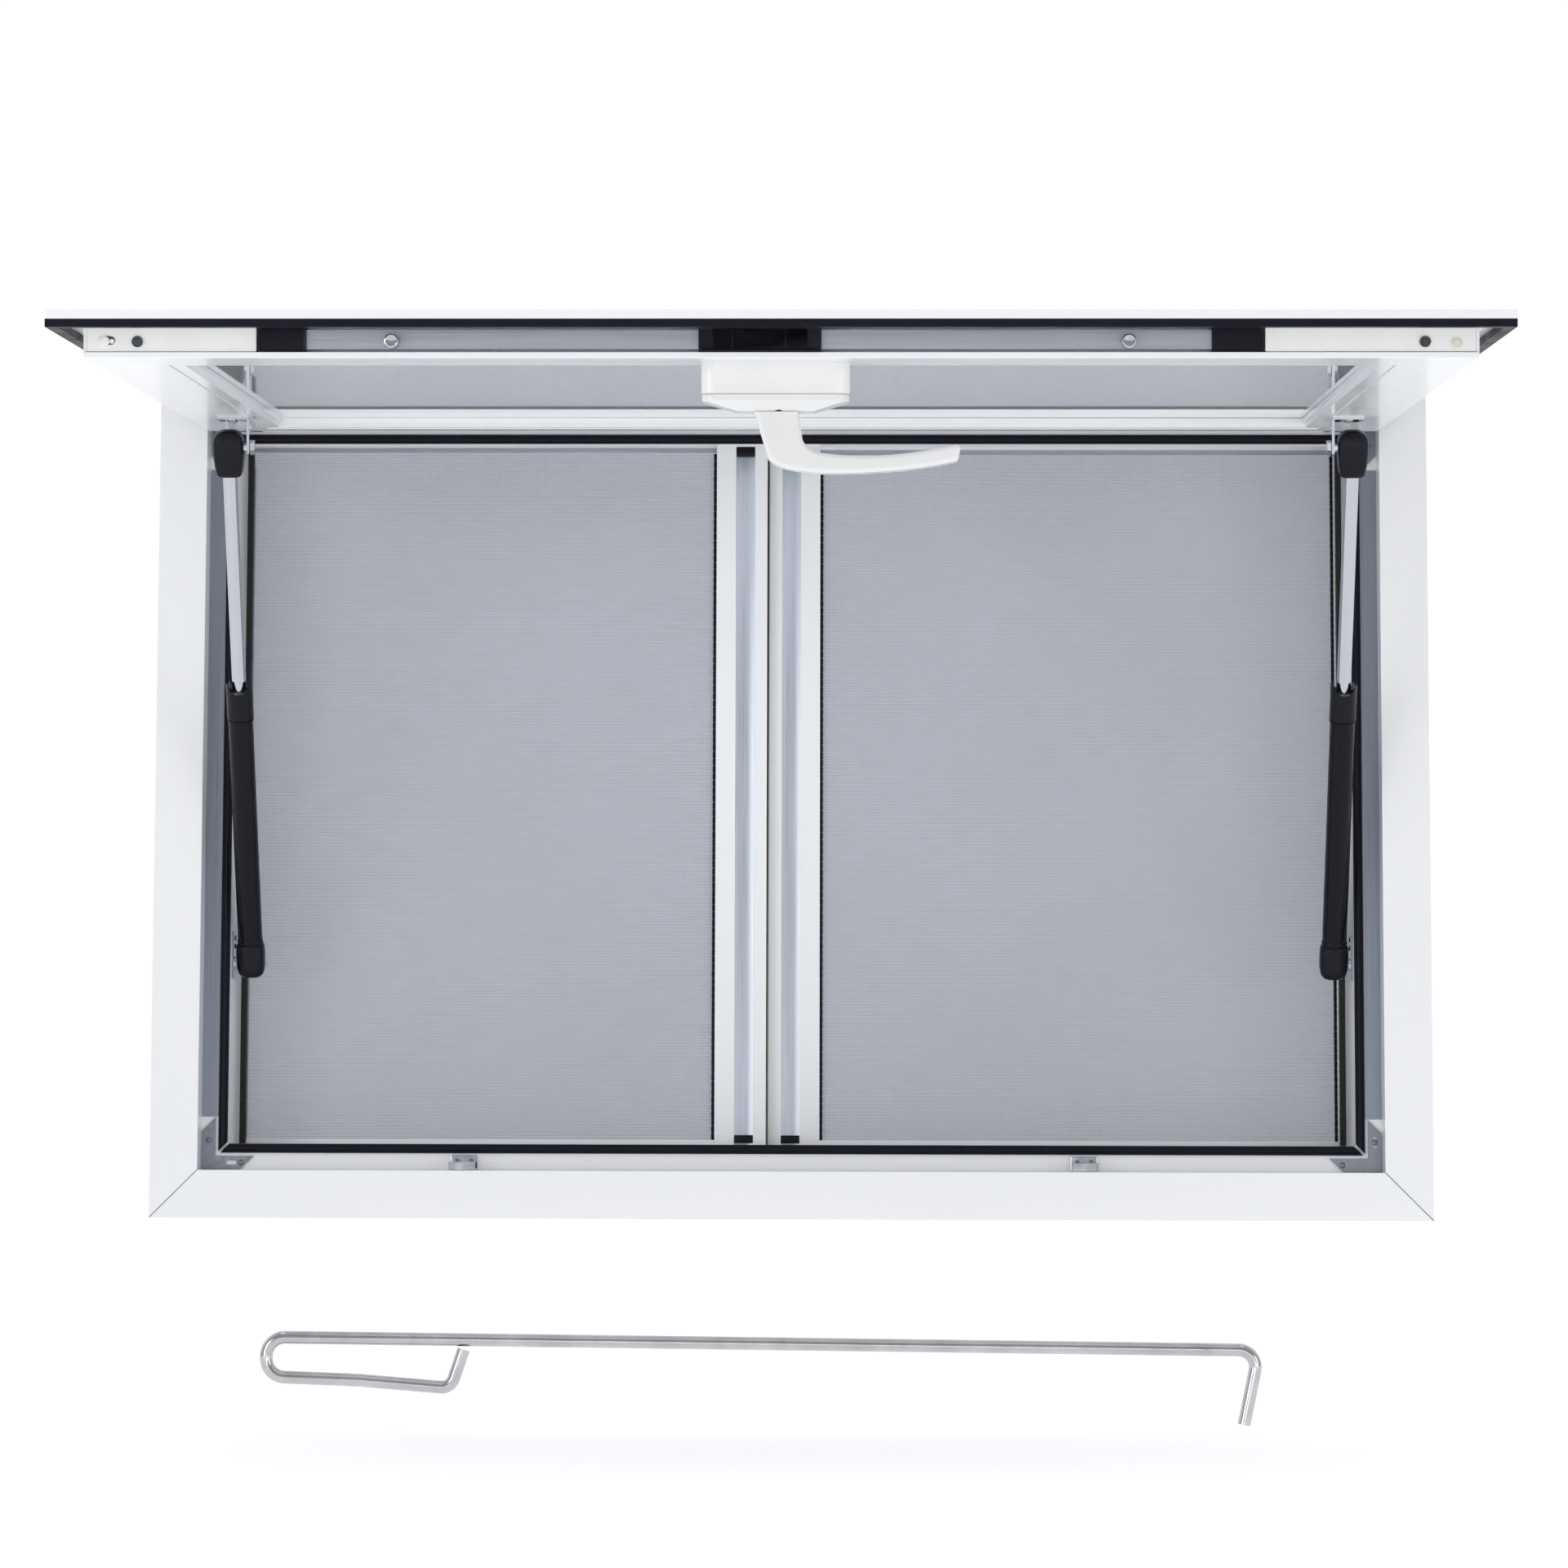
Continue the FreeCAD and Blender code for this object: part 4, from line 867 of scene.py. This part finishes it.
def moulded_cover(work, low_x, high_x, face, end_slope, radius):
    """A dished black moulding over the lock: sloped ends, a flat middle and a thin rim."""
    middle, half = (low_x + high_x) / 2, (high_x - low_x) / 2
    deep_low, deep_high = 1.9 * MM, 17.6 * MM
    centre, half_deep = (deep_low + deep_high) / 2, (deep_high - deep_low) / 2
    place = sash_place(middle, centre, face) @ Matrix.Rotation(math.pi, 4, "X")
    rows = [(-2.2 * MM, half, half_deep, radius), (-0.5 * MM, half, half_deep, radius),
            (0.0, half - 0.5 * MM, half_deep - 0.5 * MM, radius),
            (-0.2 * MM, half - 1.3 * MM, half_deep - 1.0 * MM, radius),
            (-1.1 * MM, half - end_slope, half_deep - 1.3 * MM, radius * 0.8),
            (-1.2 * MM, half - end_slope - 0.6 * MM, half_deep - 1.8 * MM, radius * 0.7)]
    socket_shell(work, place, rows)


def lock_mouldings():
    """Dished covers with rounded ends over the gearbox and the two bar guides."""
    def gearbox(work):
        moulded_cover(work, -49 * MM, 25 * MM, GEARBOX_FACE + 1.2 * MM, 7.5 * MM, 2.6 * MM)
        for x in (-0.0285, 0.0035):
            rounded_box(work, (0.7 * MM, 11.0 * MM, 0.8 * MM),
                        sash_place(x, 9.8 * MM, GEARBOX_FACE + 0.2 * MM), 0.2 * MM)
    new_piece("gearbox_moulding", mesh_from(gearbox, "gearbox_moulding"), "awning", BLACK)
    def guides(work):
        for low_x, high_x in ((-315 * MM, -286 * MM), (260 * MM, 291 * MM)):
            moulded_cover(work, low_x, high_x, 546.1 * MM, 1.6 * MM, 2.4 * MM)
    new_piece("guide_mouldings", mesh_from(guides, "guide_mouldings"), "awning", BLACK)


def base_seam():
    """The dark line of the joint between the handle's base and its cover."""
    def build(work):
        rows = [(-0.25 * MM, 45.0 * MM, 12.75 * MM, 7.8 * MM), (0.25 * MM, 45.0 * MM, 12.75 * MM, 7.8 * MM)]
        place = sash_place(-3.0 * MM, 41.15 * MM, 514 * MM) @ Matrix.Rotation(-math.pi / 2, 4, "X")
        socket_shell(work, place, rows)
    new_piece("base_seam", mesh_from(build, "base_seam"), "awning", FILLER)


JOINT_DEEP = 4.6 * MM


def seal_joint():
    """The joint where the awning's edge seal is glued end to end."""
    def build(work):
        place = sash_place(0.0155, 2.3 * MM, 562.6 * MM)
        rounded_box(work, (5.0 * MM, JOINT_DEEP, 7.6 * MM), place, 1.2 * MM, 3)
    new_piece("edge_seal_joint", mesh_from(build, "edge_seal_joint"), "awning", RUBBER)


# ------------------------------------------------------------------ struts

def strut_axis(side):
    """Lower pivot, upper pivot and the matrix that lays local Z along a strut at rest."""
    upper = Vector(JOINTS[f"strut_rod_{side}_swing"]["pos_m"])
    along = Vector(JOINTS[f"strut_tube_{side}_slide"]["axis"]).normalized()
    lower = upper - along * STRUT_LENGTH
    across = Vector((1, 0, 0))
    turn = Matrix((across, along.cross(across), along)).transposed().to_4x4()
    return lower, upper, turn


STRUT_LENGTH = 383.669 * MM


def socket_shell(work, place, outline, segments=10):
    """A moulded end fitting lofted through rounded rectangles: (height, half width, half depth, corner)."""
    rings = []
    for height, half_x, half_y, corner in outline:
        ring = []
        for sx, sy, first in ((1, 1, 0), (-1, 1, 90), (-1, -1, 180), (1, -1, 270)):
            for k in range(segments // 2 + 1):
                angle = math.radians(first + 90 * k / (segments // 2))
                ring.append(place @ Vector((
                    sx * (half_x - corner) + corner * math.cos(angle),
                    sy * (half_y - corner) + corner * math.sin(angle), height)))
        rings.append([work.verts.new(p) for p in ring])
    count = len(rings[0])
    for low, high in zip(rings, rings[1:]):
        for i in range(count):
            j = (i + 1) % count
            work.faces.new([low[i], low[j], high[j], high[i]])
    work.faces.new(rings[0])
    work.faces.new(rings[-1])


def strut_fittings():
    """Moulded ball sockets, the nuts on the ball studs, the bracket screws and the rings on the tube."""
    for side in ("left", "right"):
        lower, upper, turn = strut_axis(side)
        inboard = 1 if side == "left" else -1
        top = [(12.4, 3.0, 2.6, 1.4), (11.9, 5.4, 4.8, 2.6), (10.4, 7.9, 7.0, 3.4), (8.0, 9.6, 8.4, 3.8),
               (4.0, 10.5, 9.2, 4.0), (-4.0, 10.5, 9.2, 4.0), (-11.0, 9.9, 8.8, 3.4), (-17.6, 8.9, 8.2, 3.0),
               (-19.4, 8.1, 7.5, 3.0), (-20.2, 6.6, 6.2, 2.8)]
        def build_top(work):
            socket_shell(work, Matrix.Translation(upper) @ turn, [tuple(v * MM for v in row) for row in top])
        piece = new_piece(f"strut_{side}_upper_fitting", mesh_from(build_top, "upper_fitting"),
                          f"strut_rod_{side}", BLACK)
        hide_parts(f"strut_{side}_upper_socket")
        bottom = [(-10.0, 4.4, 4.0, 3.2), (-9.4, 7.0, 6.6, 4.6), (-7.0, 9.0, 8.4, 5.4),
                  (-2.0, 10.0, 9.4, 6.0),
                  (8.0, 10.2, 9.6, 7.2), (13.4, 9.9, 9.7, 8.6), (14.4, 9.6, 9.6, 9.0), (15.2, 9.0, 9.0, 8.8)]
        def build_bottom(work):
            socket_shell(work, Matrix.Translation(lower) @ turn,
                         [tuple(v * MM for v in row) for row in bottom])
        piece = new_piece(f"strut_{side}_lower_fitting", mesh_from(build_bottom, "lower_fitting"),
                          f"strut_tube_{side}", BLACK)
        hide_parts(f"strut_{side}_lower_socket")
        bracket_hardware(side, inboard, lower, upper)
        tube_rings(side, lower, turn)


def tube_rings(side, lower, turn):
    """The rolled groove and crimp that hold the guide in the tube."""
    def build(work):
        for height, radius, tall in ((184.6, 9.3, 1.6), (17.0, 9.2, 3.0)):
            place = Matrix.Translation(lower) @ turn @ Matrix.Translation((0, 0, height * MM))
            outline = [(8.7, -tall / 2), (radius, -tall / 4), (radius, tall / 4), (8.7, tall / 2)]
            turned(work, [(r * MM, h * MM) for r, h in outline], place, 40)
    new_piece(f"strut_{side}_rings", mesh_from(build, "strut_rings"),
              f"strut_tube_{side}", TUBE)


def hexagon_nut(work, place, across, tall):
    """A chamfered nut along local Z."""
    radius = across / math.sqrt(3)
    outline = [(radius * 0.9, 0), (radius, 0.15 * tall), (radius, 0.85 * tall), (radius * 0.9, tall)]
    turned(work, outline, place, 6)


def bracket_hardware(side, inboard, lower, upper):
    """Nuts behind the ball studs, and the screws that hold both brackets."""
    sideways = Vector((0, 0, 1)).rotation_difference(Vector((inboard, 0, 0))).to_matrix().to_4x4()
    def on_awning(work):
        place = Matrix.Translation(upper + Vector((inboard * 14.8 * MM, 0, 0))) @ sideways
        hexagon_nut(work, place, 9 * MM, 3.6 * MM)
        flat = Vector((0, 0, 1)).rotation_difference(INTO_ROOM).to_matrix().to_4x4()
        run = (upper - HINGE).dot(DOWN_SASH)
        for offset in (-6, 6):
            spot = on_sash(upper.x + inboard * 3 * MM, 23.1 * MM, run + offset * MM)
            turned(work, [(2.6 * MM, 0), (2.4 * MM, 0.6 * MM), (1.2 * MM, 1.1 * MM), (0, 1.1 * MM)],
                   Matrix.Translation(spot) @ flat, 20)
    new_piece(f"strut_{side}_upper_nut", mesh_from(on_awning, "upper_nut"), "awning", CHROME)
    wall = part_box("strut_lower_brackets")
    edge = wall[0].x if side == "left" else wall[1].x
    def on_frame(work):
        for height in (12, 18):
            spot = Vector((edge + inboard * 1.5 * MM, lower.y, lower.z + height * MM))
            turned(work, [(2.4 * MM, 0), (2.2 * MM, 0.6 * MM), (1.1 * MM, 1.0 * MM), (0, 1.0 * MM)],
                   Matrix.Translation(spot) @ sideways, 20)
    new_piece(f"strut_{side}_bracket_screws", mesh_from(on_frame, "bracket_screws"),
              "frame", CHROME)


# ------------------------------------------------------------------ edges

SOFT_EDGED = {
    "frame_head": 0.5, "frame_sill": 0.5, "frame_jamb_left": 0.5, "frame_jamb_right": 0.5,
    "awning_bottom_rail": 0.5, "awning_stile_left": 0.5, "awning_stile_right": 0.5,
    "lock_end_covers": 0.6, "handle_base": 0.7, "handle_cover": 0.7,
    "glazing_beads": 0.6, "screen_left_frame": 0.5, "screen_right_frame": 0.5, "sill_keepers": 0.3,
    "drive_bars": 0.3,
}


def soften_edges():
    """The small radius that dies and coating leave on every sharp edge."""
    for name, radius in SOFT_EDGED.items():
        piece = frame["nodes"][name]
        weld = piece.modifiers.new("weld", "WELD")
        weld.merge_threshold = 1e-6
        bevel = piece.modifiers.new("edge", "BEVEL")
        bevel.width = radius * MM
        bevel.segments = 2
        bevel.limit_method = "ANGLE"
        bevel.angle_limit = math.radians(50)
        bevel.harden_normals = False
        bevel.use_clamp_overlap = True


# ------------------------------------------------------------------ studio

CAMERA_AT = Vector((0.0448, -3.2664, 0.0030))
CAMERA_TURN = {"yaw": -0.0153, "pitch": 0.0922, "roll": 0.0028}
SENSOR, LENS = 36.0, 104.94


def camera():
    yaw, pitch, roll = CAMERA_TURN["yaw"], CAMERA_TURN["pitch"], CAMERA_TURN["roll"]
    ahead = Vector((math.sin(yaw) * math.cos(pitch), math.cos(yaw) * math.cos(pitch), math.sin(pitch)))
    level = Vector((math.cos(yaw), -math.sin(yaw), 0))
    up = level.cross(ahead)
    right = level * math.cos(roll) + up * math.sin(roll)
    up = up * math.cos(roll) - level * math.sin(roll)
    data = bpy.data.cameras.new("camera")
    data.sensor_width = SENSOR
    data.lens = LENS
    data.clip_end = 60
    item = bpy.data.objects.new("camera", data)
    item.matrix_world = Matrix.Translation(CAMERA_AT) @ Matrix((right, up, -ahead)).transposed().to_4x4()
    bpy.context.scene.collection.objects.link(item)
    bpy.context.scene.camera = item


def floor():
    """A wide pale floor just under the drag hook."""
    height = cad_low.z - 0.004
    mesh = bpy.data.meshes.new("floor")
    half = 30.0
    mesh.from_pydata([(-half, -half, height), (half, -half, height),
                      (half, half, height), (-half, half, height)],
                     [], [(0, 1, 2, 3)])
    mesh.materials.append(studio_floor())
    item = bpy.data.objects.new("floor", mesh)
    bpy.context.scene.collection.objects.link(item)


def lamp(name, at, target, size, power, colour=(1, 1, 1)):
    """A soft square lamp aimed at a point."""
    data = bpy.data.lights.new(name, "AREA")
    data.shape = "RECTANGLE"
    data.size, data.size_y = size
    data.energy = power
    data.color = colour
    item = bpy.data.objects.new(name, data)
    item.visible_transmission = False
    item.location = at
    item.rotation_euler = (Vector(target) - Vector(at)).to_track_quat("-Z", "Y").to_euler()
    bpy.context.scene.collection.objects.link(item)


def studio():
    """Even white surroundings that fall off towards the camera's side, and soft lamps in front."""
    world = bpy.data.worlds.new("studio")
    bpy.context.scene.world = world
    world.use_nodes = True
    nodes, links = world.node_tree.nodes, world.node_tree.links
    background = nodes["Background"]
    background.inputs["Color"].default_value = (0.97, 0.985, 1.0, 1)
    direction = nodes.new("ShaderNodeTexCoord").outputs["Generated"]
    split = nodes.new("ShaderNodeSeparateXYZ")
    fall = nodes.new("ShaderNodeMapRange")
    fall.interpolation_type = "SMOOTHSTEP"
    fall.inputs["From Min"].default_value = -0.7
    fall.inputs["From Max"].default_value = 0.6
    fall.inputs["To Min"].default_value = FRONT_LIGHT
    fall.inputs["To Max"].default_value = BACK_LIGHT
    links.new(direction, split.inputs["Vector"])
    links.new(split.outputs["Y"], fall.inputs["Value"])
    links.new(fall.outputs["Result"], background.inputs["Strength"])
    lamp("key", (-2.4, -3.0, 0.5), (0, 0, 0.25), (1.2, 1.8), 25)
    lamp("fill", (2.7, -2.6, 0.35), (0, -0.1, 0.3), (1.0, 1.8), 16)
    lamp("under", (0.3, -2.4, -0.12), (0, -0.3, 0.5), (1.8, 0.24), 3.5)
    lamp("top", (0.0, -0.6, 2.6), (0, 0.0, 0.3), (2.4, 1.4), 8)
    bpy.context.scene.view_settings.view_transform = "Standard"


FRONT_LIGHT, BACK_LIGHT = 0.44, 1.04


def main():
    finish_machined_pieces()
    soften_edges()
    woven_screens()
    brush_strips()
    frame_fasteners()
    rail_hardware()
    lock_rollers()
    lock_mouldings()
    meeting_fin()
    mitre_joints()
    # painted shade strips on the rebate floors
    rebate_liners()
    seal_joint()
    base_seam()
    strut_fittings()
    camera()
    floor()
    studio()


main()
